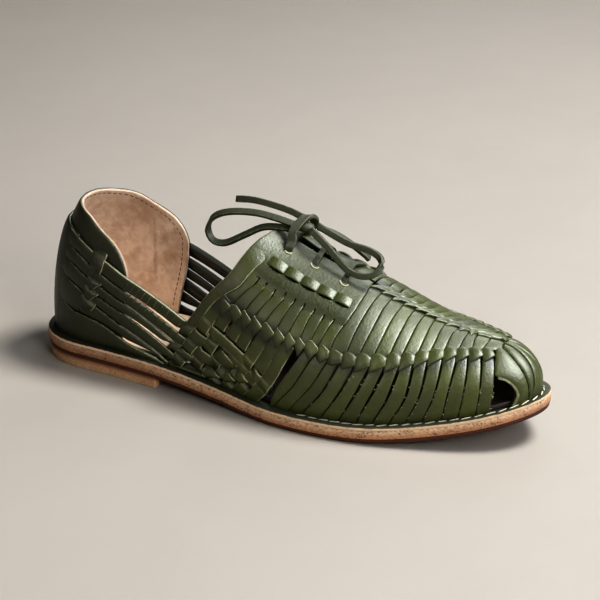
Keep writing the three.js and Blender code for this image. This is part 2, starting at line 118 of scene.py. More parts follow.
def edge(turn, inset):
    """Plan point of the sole's outline, drawn in by inset."""
    turn = np.mod(turn, 2.0)
    outer = turn <= 1
    share = np.where(outer, turn, 2 - turn)
    length = SOLE_LENGTH - 2 * inset
    run = length * (1 - np.cos(np.pi * share)) / 2
    x = run + inset
    half = np.where(outer, along(OUTLINE, 1, x), along(OUTLINE, 2, x)) - inset
    heel = 1 - np.maximum(1 - run / HEEL_ROUND, 0) ** HEEL_POWER
    toe = 1 - np.maximum(1 - (length - run) / (TOE_ROUND - inset), 0) ** TOE_POWER
    swing = TOE_SWING * np.maximum((x / SOLE_LENGTH - SWING_FROM) / (1 - SWING_FROM), 0) ** 2
    side = np.where(outer, -1.0, 1.0)
    y = side * half * np.maximum(heel, 0) ** (1 / HEEL_POWER) * np.sqrt(np.maximum(toe, 0)) + swing
    return x, y


def midsole_underside(x):
    """Height of the middle sole's underside at a plan station."""
    share = x / SOLE_LENGTH
    heel = HEEL_LIFT * (1 - smoothstep(share, WAIST_FROM, WAIST_TO))
    spring = TOE_SPRING * np.maximum((share - SPRING_FROM) / (1 - SPRING_FROM), 0) ** 2
    return OUTSOLE + heel + spring


def welt_top(x):
    """Height of the green rim's top at a plan station."""
    return midsole_underside(x) + MIDSOLE + WELT


def shell(turn, rise):
    """Point on the outside of the last."""
    turn, rise = np.broadcast_arrays(np.asarray(turn, float), np.asarray(rise, float))
    over = rise > 1
    place = np.mod(np.where(over, 2 - turn, turn), 2.0)
    height = np.where(over, 2 - rise, rise)
    x, y = edge(place, RIM_WIDTH)
    before_x, before_y = edge(place - STEP, RIM_WIDTH)
    after_x, after_y = edge(place + STEP, RIM_WIDTH)
    out_x, out_y = after_y - before_y, before_x - after_x
    size = np.maximum(np.hypot(out_x, out_y), 1e-9)
    full = np.where(place <= 1, along(LAST, OUTER_FULL, x), along(LAST, INNER_FULL, x))
    inward = 1 - np.maximum(np.cos(height * np.pi / 2), 0) ** (2 / full)
    bulge = along(LAST, SWELL, x) * np.sin(np.pi * np.minimum(height / SWELL_REACH, 1))
    foot = welt_top(x) + SEAM
    px = x + (along(LAST, RIDGE, x) - x) * inward + out_x / size * bulge
    py = y + (along(LAST, DRIFT, x) - y) * inward + out_y / size * bulge
    pz = foot + (along(LAST, HEIGHT, x) - foot) * np.sin(height * np.pi / 2)
    return np.stack([px, py, pz], axis=-1)


def facing(turn, rise):
    """Outward direction of the last."""
    turn, rise = np.broadcast_arrays(np.asarray(turn, float), np.asarray(rise, float))
    rise = np.where(rise > 1, np.maximum(rise, 2 - RIDGE_CLEAR), np.minimum(rise, RIDGE_CLEAR))
    forward = shell(turn + STEP, rise) - shell(turn - STEP, rise)
    upward = shell(turn, rise + STEP) - shell(turn, rise - STEP)
    normal = np.cross(forward, upward)
    return normal / np.maximum(np.linalg.norm(normal, axis=-1, keepdims=True), 1e-12)


def filled(value, shape):
    """A number or a row of numbers, filled out to a shape."""
    return np.broadcast_to(np.asarray(value, float), shape)


def lifted(turn, rise, lift):
    """Point that stands off the last by lift."""
    shape = np.broadcast_shapes(np.shape(turn), np.shape(rise), np.shape(lift))
    return shell(turn, rise) + facing(turn, rise) * filled(lift, shape)[..., None]


SHOE_TO_ROW = np.array([
    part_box("midsole")[0].x / MM,
    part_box("midsole")[0].y / MM - edge(np.linspace(0, 1, 2001), 0.0)[1].min(),
    0.0,
])


def to_row(points):
    """Shoe millimetres to row metres."""
    return (np.asarray(points, float) + SHOE_TO_ROW) * MM


# Lines on the last

# Rough millimetres that one unit of turn and of rise cover, to step a line evenly.
LINE_SCALE = np.array([400.0, 110.0])
# Points of a line this close to its new end are left out.
END_CLEAR = 0.004


def run_along(line):
    """Length of a line up to each of its points."""
    return np.concatenate([[0], np.cumsum(np.linalg.norm(np.diff(line, axis=0), axis=1))])


def through(points, count):
    """Smooth line through given points, evenly stepped."""
    points = np.asarray(points, float)
    scale = LINE_SCALE if points.shape[1] == 2 else np.ones(points.shape[1])
    table = np.column_stack([run_along(points * scale), points])
    at = np.linspace(0, table[-1, 0], count)
    return np.column_stack([along(table, k, at) for k in range(1, table.shape[1])])


def reach(points, low, high):
    """A line of rising points, carried on straight to the rises low and high."""
    points = np.asarray(points, float)
    points = points[(points[:, 1] > low + END_CLEAR) & (points[:, 1] < high - END_CLEAR)]
    first = points[0] + (points[0] - points[1]) * (points[0, 1] - low) / (points[1, 1] - points[0, 1])
    last = points[-1] + (points[-1] - points[-2]) * (high - points[-1, 1]) / (points[-1, 1] - points[-2, 1])
    return np.vstack([first, points, last])


def place_at(points, rise):
    """Turn of a rising line at a rise."""
    points = np.asarray(points, float)
    return np.interp(rise, points[:, 1], points[:, 0])


def turn_speed(line):
    """Millimetres that one unit of turn covers at each point of a line."""
    ahead = shell(line[:, 0] + STEP, line[:, 1])
    behind = shell(line[:, 0] - STEP, line[:, 1])
    return np.linalg.norm(ahead - behind, axis=1) / (2 * STEP)


def sides(line, width):
    """Both edges of a strip of that width about a centre line."""
    turn, rise = line[:, 0], line[:, 1]
    across = np.cross(np.gradient(shell(turn, rise), axis=0), facing(turn, rise))
    across /= np.linalg.norm(across, axis=1, keepdims=True)
    ahead = (shell(turn + STEP, rise) - shell(turn - STEP, rise)) / (2 * STEP)
    upward = (shell(turn, rise + STEP) - shell(turn, rise - STEP)) / (2 * STEP)
    tt, tr, rr = (ahead * ahead).sum(1), (ahead * upward).sum(1), (upward * upward).sum(1)
    at, ar = (across * ahead).sum(1), (across * upward).sum(1)
    area = tt * rr - tr * tr
    step = np.column_stack([(at * rr - ar * tr) / area, (ar * tt - at * tr) / area])
    step *= filled(width, len(line))[:, None] / 2
    return line - step, line + step


def inner_side(points):
    """The same place on the inner side."""
    points = np.array(points, float)
    points[..., 0] = 2 - points[..., 0]
    return points


def on_side(points, flip):
    """A line of the outer side, carried to the inner side where flip says so."""
    return inner_side(points) if flip else points


def by_turn(points, turn):
    """Second number of a table of pairs where the first is turn, or a share of the way."""
    points = np.array(points)
    return np.interp(turn, points[:, 0], points[:, 1])


# Strips and plates of hide

# A strip's rounded edge, from outside in: distance, drop and how much of the raw edge shows.
EDGE_IN = np.array([0.0, 0.16, 0.45, 0.9])
EDGE_DROP = np.array([0.5, 0.22, 0.06, 0.0])
EDGE_CUT = np.array([1.0, 1.0, 0.5, 0.0])
# Shares across a strip: its flat middle, and its underside back again.
STRIP_FLAT = np.array([0.32, 0.5, 0.68])
STRIP_UNDER = np.array([1.0, 0.5, 0.0])
NARROWEST = 0.5
# Raw edge on the three outer rings of a plate.
PLATE_CUT = (1.0, 0.9, 0.3)
BEAD_RINGS = 7
BEAD_AROUND = 8
BEAD_REACH = 0.92
BEAD_BLUNT = 3.0
TONES = np.random.default_rng(11)


def eased(count):
    """Shares from 0 to 1 with two close steps at each end."""
    return np.concatenate([[0, 0.02, 0.06], np.linspace(0.13, 0.87, count - 6), [0.94, 0.98, 1]])


def tube_faces(rows, ring):
    """Faces of a tube of closed rings, capped at both ends."""
    r, k = np.meshgrid(np.arange(rows - 1), np.arange(ring), indexing="ij")
    n = (k + 1) % ring
    faces = np.stack([r * ring + k, r * ring + n, (r + 1) * ring + n, (r + 1) * ring + k], -1)
    faces = [tuple(face) for face in faces.reshape(-1, 4)]
    return faces + [tuple(range(ring))[::-1], tuple(range((rows - 1) * ring, rows * ring))]


class Hide:
    """Points and faces of one piece, gathered strip by strip."""

    def __init__(self):
        self.points, self.faces, self.cut, self.tone = [], [], [], []
        self.count = 0

    def add(self, points, faces, cut, tone):
        """More points and faces; cut is 1 on a raw edge, 0 on the grain, -1 where shade is painted, tone a
        shade.
        """
        self.points.append(points)
        self.faces.extend([tuple(int(i) + self.count for i in face) for face in faces])
        self.cut.append(np.broadcast_to(cut, len(points)))
        self.tone.append(np.broadcast_to(tone, len(points)))
        self.count += len(points)

    def strip(self, left, right, lift, thick, crown, lean=0.0, tone=None, drop=1.0, raw=(1.0, 1.0), deep=0.0):
        """A flat strip between two edges on the last.

        Crown domes it, lean tips it, raw is the paleness of each edge and deep is painted shade on it,
        laid on where it goes under another or lies in shade.
        """
        rows = len(left)
        lift, crown, lean = (filled(value, rows) for value in (lift, crown, lean))
        middle = rows // 2
        centre = (left + right) / 2
        heading = shell(*centre[middle + 1]) - shell(*centre[middle - 1])
        across = np.cross(heading, facing(*centre[middle]))
        if np.dot(shell(*right[middle]) - shell(*left[middle]), across) < 0:
            left, right, lean, raw = right, left, -lean, raw[::-1]
        width = np.linalg.norm(shell(left[:, 0], left[:, 1]) - shell(right[:, 0], right[:, 1]), axis=1)
        inset = np.minimum(EDGE_IN[None] / np.maximum(width, NARROWEST)[:, None], 0.04 + 0.24 * EDGE_IN[None])
        share = np.hstack([inset, filled(STRIP_FLAT, (rows, 3)), 1 - inset[:, ::-1]])
        fall = np.concatenate([EDGE_DROP, [0, 0, 0], EDGE_DROP[::-1]]) * drop
        c = 2 * share - 1
        height = lift[:, None] + crown[:, None] * (1 - c * c) + lean[:, None] * c - fall[None]
        low_share = filled(STRIP_UNDER, (rows, 3))
        low = lift[:, None] + lean[:, None] * (2 * low_share - 1) - thick
        share = np.hstack([share, low_share])
        height = np.hstack([height, low])
        spot = left[:, None] * (1 - share[..., None]) + right[:, None] * share[..., None]
        ring = share.shape[1]
        points = lifted(spot[..., 0], spot[..., 1], height).reshape(-1, 3)
        raw = [filled(side, rows)[:, None] for side in raw]
        # Painted shade: the underside is marked -1 and deep pulls the top towards -1, which the finish darkens
        # so that gaps read dark.
        flat, foot = np.zeros((rows, 3)), np.full((rows, 3), -1.0)
        cut = np.hstack([EDGE_CUT[None] * raw[0], flat, EDGE_CUT[None, ::-1] * raw[1], foot]).ravel()
        deep = np.repeat(filled(deep, rows), ring)
        cut = cut * (1 - deep) - deep
        self.add(points, tube_faces(rows, ring), cut, TONES.uniform(-1, 1) if tone is None else tone)

    def plate(self, turn, rise, lift, thick, tone=None, drop=(0.4, 0.13), edge_cut=1.0, under_cut=-1.0,
              deep=0.0):
        """A closed plate over a grid of places on the last; drop rounds its two outer rings, deep paints shade
        on its top and a negative under_cut paints shade on its underside.
        """
        lift = np.array(filled(lift, turn.shape))
        thick = filled(thick, turn.shape)
        rows, cols = turn.shape
        r, k = np.meshgrid(np.arange(rows), np.arange(cols), indexing="ij")
        ring = np.minimum(np.minimum(r, rows - 1 - r), np.minimum(k, cols - 1 - k))
        under = lift - thick
        lift -= np.select([ring == 0, ring == 1], [drop[0], drop[1]], 0.0)
        cut = np.select([ring == k for k in range(3)], [edge_cut * share for share in PLATE_CUT], 0.0)
        # Painted shade: deep pulls the top's mark towards -1, and under_cut marks the underside, both darkened
        # in the finish.
        cut = cut * (1 - deep) - deep
        top = lifted(turn, rise, lift).reshape(-1, 3)
        bottom = lifted(turn, rise, under).reshape(-1, 3)
        index = r * cols + k
        corners = (index[:-1, :-1], index[:-1, 1:], index[1:, 1:], index[1:, :-1])
        a, b, c, d = (corner.ravel() for corner in corners)
        loop = np.concatenate([index[0, :-1], index[:-1, -1], index[-1, :0:-1], index[:0:-1, 0]])
        ahead = np.roll(loop, -1)
        total = rows * cols
        faces = np.vstack([
            np.stack([a, b, c, d], -1),
            np.stack([a, d, c, b], -1) + total,
            np.stack([loop, loop + total, ahead + total, ahead], -1),
        ])
        mid_row, mid_col = rows // 2, cols // 2
        grid = top.reshape(rows, cols, 3)
        normal = np.cross(grid[mid_row, mid_col + 1] - grid[mid_row, mid_col],
                          grid[mid_row + 1, mid_col] - grid[mid_row, mid_col])
        if np.dot(normal, facing(turn[mid_row, mid_col], rise[mid_row, mid_col])) < 0:
            faces = faces[:, ::-1]
        self.add(np.vstack([top, bottom]), [tuple(f) for f in faces],
                 np.concatenate([cut.ravel(), np.where(ring == 0, edge_cut, under_cut).ravel()]),
                 TONES.uniform(-1, 1) if tone is None else tone)

    def bead(self, centre, heading, up, length, width, height, tone=0.0, cut=0.0):
        """A rounded stitch lying along heading."""
        heading = heading / np.linalg.norm(heading)
        side = np.cross(up, heading)
        side /= np.linalg.norm(side)
        up = np.cross(heading, side)
        rings, around = BEAD_RINGS, BEAD_AROUND
        angle = np.linspace(0, 2 * np.pi, around, endpoint=False)
        points = [centre - heading * length / 2]
        for share in np.linspace(-BEAD_REACH, BEAD_REACH, rings):
            size = (1 - abs(share) ** BEAD_BLUNT) ** 0.5
            middle = centre + heading * share * length / 2
            ring = np.cos(angle)[:, None] * side * width / 2 + np.sin(angle)[:, None] * up * height / 2
            points.extend(middle + ring * size)
        points.append(centre + heading * length / 2)
        faces = []
        for k in range(around):
            n = (k + 1) % around
            faces.append((0, 1 + n, 1 + k))
            for r in range(rings - 1):
                base = 1 + r * around
                faces.append((base + k, base + n, base + around + n, base + around + k))
            base = 1 + (rings - 1) * around
            faces.append((base + k, base + n, len(points) - 1))
        self.add(np.array(points), faces, cut, tone)

    def make(self, name, material, slot, *nodes):
        """The finished piece, riding on the shoe."""
        points = to_row(np.vstack(self.points))
        mesh = bpy.data.meshes.new(name)
        mesh.from_pydata(points.tolist(), [], self.faces)
        for key, values in (("cut", self.cut), ("tone", self.tone)):
            layer = mesh.attributes.new(key, "FLOAT", "POINT")
            layer.data.foreach_set("value", np.concatenate(values).astype(np.float32))
        mesh.polygons.foreach_set("use_smooth", np.ones(len(mesh.polygons), dtype=bool))
        mesh.update()
        piece = bpy.data.objects.new(name, mesh)
        bpy.context.scene.collection.objects.link(piece)
        mesh.materials.append(material)
        if slot:
            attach(piece, "root")
            for node in nodes:
                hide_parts(node)
        return piece


# Finishes

def linear(code):
    """A colour code as linear red, green, blue and alpha."""
    parts = [(code >> shift & 255) / 255 for shift in (16, 8, 0)]
    return [((c + 0.055) / 1.055) ** 2.4 if c > 0.04045 else c / 12.92 for c in parts] + [1.0]


def tint(label, about, code):
    return bpy.props.FloatVectorProperty(
        name=label, description=about, default=linear(code), subtype="COLOR", size=4, min=0.0, max=1.0)


class ShoeFinish(bpy.types.PropertyGroup):
    """Colours of the shoe's hides, edges and thread."""
    green: tint("Green hide", "Grain side of the strips and panels", 0x5a622e)
    # Also darkened to paint shade on undersides and where strips go under.
    green_deep: tint("Deep green", "Darker patches of the dye", 0x323813)
    green_edge: tint("Cut edge", "Raw edge of the green strips", 0xb4b494)
    rim: tint("Green rim", "Welt round the upper", 0x2f371f)
    lace: tint("Lace", "Leather lace", 0x434830)
    tan_edge: tint("Tan edge", "Edge of the middle sole", 0xf4d3b0)
    tan_low: tint("Tan foot", "Redder foot of the tan edge", 0xd69f76)
    tan_dark: tint("Tan shade", "Burnished marks of the tan edge", 0x84563a)
    heel_tan: tint("Heel tan", "Smooth heel lift", 0xeccba6)
    outsole: tint("Outsole", "Dark outsole edge", 0x5a2c14)
    lining: tint("Lining", "Suede lining of the counter", 0xe8d4c2)
    lining_edge: tint("Lining edge", "Pale cut edge of the lining", 0xd4bda2)
    thread: tint("Thread", "Cream lock stitch", 0xe8e0cc)
    seam: tint("Seam thread", "Brown seam of the lining", 0x7a4a2c)
    floor: tint("Floor", "Pale studio floor", 0xbab4ad)


def length(label, about, metres):
    return bpy.props.FloatProperty(
        name=label, description=about, default=metres, subtype="DISTANCE", unit="LENGTH")


class ShoeSizes(bpy.types.PropertyGroup):
    """Sizes of the parts that sit on the last."""
    lace_width: length("Lace width", "Width of the leather lace", 0.0034)
    lace_thick: length("Lace thickness", "Thickness of the lace", 0.0021)
    stitch_step: length("Stitch step", "Spacing of the rim stitches", 0.0061)
    lens: bpy.props.FloatProperty(
        name="Lens", description="Focal length of the camera in millimetres", default=121.4, min=1.0)


def put(tree, kind, inputs=None, **settings):
    """A new node with its settings and sockets."""
    node = tree.nodes.new(kind)
    for key, value in settings.items():
        setattr(node, key, value)
    for key, value in (inputs or {}).items():
        socket = node.inputs[key]
        if isinstance(value, bpy.types.NodeSocket):
            tree.links.new(value, socket)
        else:
            socket.default_value = value
    return node


def maths(tree, how, first, second=0.0, clamp=False):
    return put(tree, "ShaderNodeMath", {0: first, 1: second}, operation=how, use_clamp=clamp).outputs[0]


def mix(tree, factor, first, second, how="MIX"):
    node = put(tree, "ShaderNodeMix", {0: factor, 6: first, 7: second}, data_type="RGBA", blend_type=how)
    return node.outputs[2]


def ramp(tree, value, low, high, first=0.0, second=1.0):
    """Eased value from first to second while the input goes from low to high."""
    node = put(tree, "ShaderNodeMapRange", {"Value": value, "From Min": low, "From Max": high,
                                            "To Min": first, "To Max": second}, interpolation_type="SMOOTHSTEP")
    return node.outputs["Result"]


def new_group(name, inputs, outputs):
    group = bpy.data.node_groups.new(name, "ShaderNodeTree")
    for label, kind in inputs:
        group.interface.new_socket(name=label, in_out="INPUT", socket_type="NodeSocket" + kind)
    for label, kind in outputs:
        group.interface.new_socket(name=label, in_out="OUTPUT", socket_type="NodeSocket" + kind)
    return group, put(group, "NodeGroupInput"), put(group, "NodeGroupOutput")


def grain_group():
    """Pebbled grain of dressed hide: a height and a faint shade."""
    group, start, end = new_group("Hide grain", (("Place", "Vector"), ("Scale", "Float")),
                                  (("Height", "Float"), ("Shade", "Float")))
    place, scale = start.outputs["Place"], start.outputs["Scale"]
    cells = put(group, "ShaderNodeTexVoronoi", {"Vector": place, "Scale": scale}, feature="SMOOTH_F1")
    fine = put(group, "ShaderNodeTexNoise", {"Vector": place, "Scale": maths(group, "MULTIPLY", scale, 1.9),
                                             "Detail": 5.0, "Roughness": 0.6})
    broad = put(group, "ShaderNodeTexNoise", {"Vector": place, "Scale": maths(group, "MULTIPLY", scale, 0.16),
                                              "Detail": 4.0})
    pebble = maths(group, "SUBTRACT", 1.0, cells.outputs["Distance"])
    height = maths(group, "ADD", maths(group, "MULTIPLY", pebble, 0.45),
                   maths(group, "MULTIPLY", fine.outputs["Fac"], 0.4))
    height = maths(group, "ADD", height, maths(group, "MULTIPLY", broad.outputs["Fac"], 0.9))
    group.links.new(height, end.inputs["Height"])
    group.links.new(ramp(group, fine.outputs["Fac"], 0.3, 0.7), end.inputs["Shade"])
    return group


def dye_group():
    """Uneven dye: broad patches and faint streaks."""
    group, start, end = new_group("Uneven dye", (("Place", "Vector"), ("Scale", "Float")),
                                  (("Patch", "Float"),))
    place, scale = start.outputs["Place"], start.outputs["Scale"]
    broad = put(group, "ShaderNodeTexNoise", {"Vector": place, "Scale": scale, "Detail": 3.0,
                                              "Roughness": 0.55})
    small = put(group, "ShaderNodeTexNoise", {"Vector": place, "Scale": maths(group, "MULTIPLY", scale, 5.0),
                                              "Detail": 4.0, "Distortion": 0.6})
    both = maths(group, "ADD", maths(group, "MULTIPLY", broad.outputs["Fac"], 0.65),
                 maths(group, "MULTIPLY", small.outputs["Fac"], 0.35))
    group.links.new(ramp(group, both, 0.36, 0.64), end.inputs["Patch"])
    return group


def edge_group():
    """Raw cut edge, broken up by rubbing."""
    group, start, end = new_group("Cut edge", (("Cut", "Float"), ("Place", "Vector"), ("Amount", "Float")),
                                  (("Mask", "Float"),))
    noise = put(group, "ShaderNodeTexNoise", {"Vector": start.outputs["Place"], "Scale": 420.0, "Detail": 3.0})
    broken = maths(group, "ADD", start.outputs["Cut"],
                   maths(group, "MULTIPLY", maths(group, "SUBTRACT", noise.outputs["Fac"], 0.5), 0.9))
    mask = maths(group, "MULTIPLY", ramp(group, broken, 0.35, 1.0), start.outputs["Amount"], True)
    group.links.new(mask, end.inputs["Mask"])
    return group


def placed(tree, name, make, inputs):
    """A shared effect placed in a material, built when it is first asked for."""
    return put(tree, "ShaderNodeGroup", inputs, node_tree=bpy.data.node_groups.get(name) or make())


def attribute(tree, name):
    return put(tree, "ShaderNodeAttribute", attribute_name=name, attribute_type="GEOMETRY").outputs["Fac"]


def darker(colour, share):
    return tuple(c * share for c in colour[:3]) + (1.0,)


def relief(tree, shader, height, strength, depth):
    """Bump from a height into the shader's normal."""
    bump = put(tree, "ShaderNodeBump", {"Strength": strength, "Distance": depth, "Height": height})
    tree.links.new(bump.outputs["Normal"], shader.inputs["Normal"])


def plain(shader, **values):
    """Values that are the same all over the surface, named as the shader's sockets are."""
    for key, value in values.items():
        shader.inputs[key.replace("_", " ")].default_value = value


def once(build):
    """Builds a named material only when it is first asked for."""
    def material(name, *values, **named):
        return bpy.data.materials.get(name) or build(name, *values, **named)
    return material


def new_material(name):
    """A material, its node tree, its shader and the place on the piece."""
    material = bpy.data.materials.new(name)
    material.use_nodes = True
    tree = material.node_tree
    shader = tree.nodes["Principled BSDF"]
    return material, tree, shader, put(tree, "ShaderNodeTexCoord").outputs["Object"]


# Painted shade: the green is darker towards the heel, which lies in shade: from and to along the shoe, and its
# share of brightness there.
HEEL_PAINTED_SHADE = (-0.10, 0.01, 0.26)


@once
def hide_material(name, base, deep, raw, rough, gloss, bump, grain=780.0, edge_amount=1.0, spread=0.5):
    """Dyed leather: uneven dye, per-strip shade, raw edges, pebbled grain, and painted shade towards the heel
    and where the cut mark is below zero.
    """
    material, tree, shader, place = new_material(name)
    hide = placed(tree, "Hide grain", grain_group, {"Place": place, "Scale": grain})
    dye = placed(tree, "Uneven dye", dye_group, {"Place": place, "Scale": 34.0})
    raw_edge = placed(tree, "Cut edge", edge_group, {"Cut": attribute(tree, "cut"), "Place": place,
                                                     "Amount": edge_amount})
    colour = mix(tree, maths(tree, "MULTIPLY", dye.outputs["Patch"], spread), tuple(base), tuple(deep))
    apart = put(tree, "ShaderNodeSeparateXYZ", {0: place})
    # Painted shade: the colour is darker towards the heel.
    tone = maths(tree, "MULTIPLY", ramp(tree, attribute(tree, "tone"), -1.0, 1.0, 0.86, 1.14),
                 ramp(tree, apart.outputs["X"], *HEEL_PAINTED_SHADE, 1.0))
    scaled = put(tree, "ShaderNodeVectorMath", {0: colour, "Scale": tone}, operation="SCALE")
    shaded = mix(tree, maths(tree, "MULTIPLY", hide.outputs["Shade"], 0.35), scaled.outputs[0], tuple(deep))
    shaded = mix(tree, raw_edge.outputs["Mask"], shaded, tuple(raw))
    # Painted shade: a cut mark below zero, on undersides and where strips go under, darkens towards near-black
    # green.
    shaded = mix(tree, ramp(tree, attribute(tree, "cut"), -0.1, -0.8), shaded, darker(deep, 0.3))
    tree.links.new(shaded, shader.inputs["Base Color"])
    roughness = maths(tree, "ADD", ramp(tree, dye.outputs["Patch"], 0.0, 1.0, rough - 0.05, rough + 0.06),
                      maths(tree, "MULTIPLY", raw_edge.outputs["Mask"], 0.3), True)
    tree.links.new(roughness, shader.inputs["Roughness"])
    relief(tree, shader, hide.outputs["Height"], bump, 0.00035)
    plain(shader, Specular_IOR_Level=0.42, Coat_Weight=gloss, Coat_Roughness=0.36)
    return material


def green_hide():
    look = bpy.context.scene.shoe_finish
    return hide_material("green_hide", look.green, look.green_deep, look.green_edge, 0.46, 0.1, 0.75)


def lace_hide():
    look = bpy.context.scene.shoe_finish
    return hide_material("lace_hide", look.lace, look.green_deep, look.green_edge, 0.62, 0.0, 0.9, 1100.0, 0.5)


def rim_hide():
    look = bpy.context.scene.shoe_finish
    return hide_material("rim_hide", look.rim, look.green_deep, look.tan_edge, 0.62, 0.0, 0.5, 820.0, 0.92)


@once
def suede_material(name):
    """Napped lining: blotches, a paler cut edge and painted shade in its creases and folds."""
    look = bpy.context.scene.shoe_finish
    material, tree, shader, place = new_material(name)
    dye = placed(tree, "Uneven dye", dye_group, {"Place": place, "Scale": 48.0})
    hide = placed(tree, "Hide grain", grain_group, {"Place": place, "Scale": 1900.0})
    dark = [look.lining[0] * 0.6, look.lining[1] * 0.5, look.lining[2] * 0.42, 1.0]
    blotch = maths(tree, "ADD", maths(tree, "MULTIPLY", dye.outputs["Patch"], 0.7),
                   maths(tree, "MULTIPLY", hide.outputs["Shade"], 0.3))
    colour = mix(tree, blotch, tuple(look.lining), tuple(dark))
    raw = placed(tree, "Cut edge", edge_group, {"Cut": attribute(tree, "cut"), "Place": place, "Amount": 0.9})
    colour = mix(tree, raw.outputs["Mask"], colour, tuple(look.lining_edge))
    # Painted shade: a cut mark below zero, in the crease and folds, darkens the lining.
    colour = mix(tree, ramp(tree, attribute(tree, "cut"), -0.1, -0.9), colour, darker(dark, 0.5))
    tree.links.new(colour, shader.inputs["Base Color"])
    relief(tree, shader, hide.outputs["Height"], 0.5, 0.0004)
    plain(shader, Roughness=0.9, Sheen_Weight=0.25, Specular_IOR_Level=0.2)
    return material


@once
def sole_material(name, top, low, dark, rough, pits, marks, streak, bump, shade=None, axis="X"):
    """Cut sole leather: pits, layered streaks and burnished marks, graded from top to bottom.

    Shade gives from where to where along an axis another colour comes in, how much of it, and the colour.
    """
    material, tree, shader, place = new_material(name)
    dye = placed(tree, "Uneven dye", dye_group, {"Place": place, "Scale": 60.0})
    squeezed = put(tree, "ShaderNodeMapping", {"Vector": place, "Scale": (1.0, 1.0, streak)})
    layers = put(tree, "ShaderNodeTexNoise", {"Vector": squeezed.outputs["Vector"], "Scale": 620.0,
                                              "Detail": 6.0, "Roughness": 0.78})
    cells = put(tree, "ShaderNodeTexVoronoi", {"Vector": place, "Scale": 640.0, "Randomness": 1.0})
    chance = put(tree, "ShaderNodeTexNoise", {"Vector": place, "Scale": 150.0, "Detail": 3.0})
    hole = maths(tree, "MULTIPLY", ramp(tree, cells.outputs["Distance"], 0.46, 0.2),
                 ramp(tree, chance.outputs["Fac"], 0.5, 0.6))
    hole = maths(tree, "MULTIPLY", hole, pits, True)
    grade = maths(tree, "ADD", attribute(tree, "tone"),
                  maths(tree, "MULTIPLY", maths(tree, "SUBTRACT", layers.outputs["Fac"], 0.5), 2.2))
    colour = mix(tree, ramp(tree, grade, -0.8, 0.9), tuple(low), tuple(top))
    burnish = maths(tree, "MULTIPLY", ramp(tree, layers.outputs["Fac"], 0.46, 0.62), marks)
    colour = mix(tree, burnish, colour, tuple(dark))
    colour = mix(tree, maths(tree, "MULTIPLY", dye.outputs["Patch"], 0.22), colour, tuple(dark))
    colour = mix(tree, hole, colour, darker(dark, 0.25))
    if shade:
        apart = put(tree, "ShaderNodeSeparateXYZ", {0: place})
        start, stop, amount, tone = shade
        colour = mix(tree, ramp(tree, apart.outputs[axis], start, stop, 0.0, amount), colour, tuple(tone))
    tree.links.new(colour, shader.inputs["Base Color"])
    height = maths(tree, "SUBTRACT", maths(tree, "MULTIPLY", layers.outputs["Fac"], 0.6), hole)
    relief(tree, shader, height, bump, 0.0006)
    plain(shader, Roughness=rough, Specular_IOR_Level=0.35)
    return material


@once
def thread_material(name, base):
    """Waxed thread with a fine twist."""
    material, tree, shader, place = new_material(name)
    noise = put(tree, "ShaderNodeTexNoise", {"Vector": place, "Scale": 1500.0, "Detail": 3.0})
    colour = mix(tree, ramp(tree, noise.outputs["Fac"], 0.4, 0.75), tuple(base), darker(base, 0.55))
    tree.links.new(colour, shader.inputs["Base Color"])
    relief(tree, shader, noise.outputs["Fac"], 0.5, 0.0002)
    plain(shader, Roughness=0.75)
    return material


# Stage

CAMERA_SPOT = (0.4446, -0.8605, 0.4707)
CAMERA_AIM = (0.0074, -0.00249, 0.052)
SENSOR_WIDTH = 36.0
NEAREST = 0.05
FLOOR_SIZE = 6.0
SKY_COLOUR = (1.0, 0.9, 0.78, 1.0)
SKY_STRENGTH = 0.05
# Warm for the lamps that light every surface; cool from above and amber from the side for those
# that only add gloss.
WARM = (1.0, 0.987, 0.958)
COOL = (0.94, 0.975, 1.0)
AMBER = (1.0, 0.95, 0.82)
# Name, place, aim, size, power, spread, colour, and whether the lamp lights matt surfaces too.
LAMPS = (
    ("key_light", (0.72, 0.36, 1.55), (0.0, 0.0, 0.03), 0.6, 25.0, math.pi, WARM, True),
    ("fill_light", (1.3, -0.9, 0.85), (0.0, 0.0, 0.03), 0.7, 8.8, math.pi, WARM, True),
    ("heel_light", (-0.088, -0.012, 0.19), (-0.082, 0.014, 0.05), 0.05, 0.0052, 0.75, WARM, True),
    ("sheen_light", (0.3, -0.2, 1.2), (0.04, 0.0, 0.03), 0.9, 1.0, math.pi, COOL, False),
    ("side_light", (-0.75, -0.75, 0.6), (0.0, -0.03, 0.05), 0.6, 1.8, math.pi, AMBER, False),
    ("toe_light", (0.85, -0.06, 0.8), (0.1, 0.0, 0.03), 0.7, 41.0, math.pi, COOL, False),
    ("crest_light", (-0.2, 0.95, 0.9), (0.05, 0.0, 0.05), 0.8, 13.0, math.pi, COOL, False),
    ("low_light", (-0.2, -1.1, 0.36), (0.05, -0.03, 0.04), 0.5, 4.0, math.pi, AMBER, False),
)


def aimed(item, spot, aim):
    """Stands a lamp or camera at a spot, looking at aim."""
    item.location = spot
    item.rotation_euler = (Vector(aim) - Vector(spot)).to_track_quat("-Z", "Y").to_euler()
    bpy.context.scene.collection.objects.link(item)


def floor_material():
    """Pale floor with a faint unevenness."""
    look = bpy.context.scene.shoe_finish
    material, tree, shader, place = new_material("studio_floor")
    dye = placed(tree, "Uneven dye", dye_group, {"Place": place, "Scale": 5.0})
    uneven = maths(tree, "MULTIPLY", dye.outputs["Patch"], 0.35)
    tree.links.new(mix(tree, uneven, tuple(look.floor), darker(look.floor, 0.9)), shader.inputs["Base Color"])
    plain(shader, Roughness=0.85)
    return material


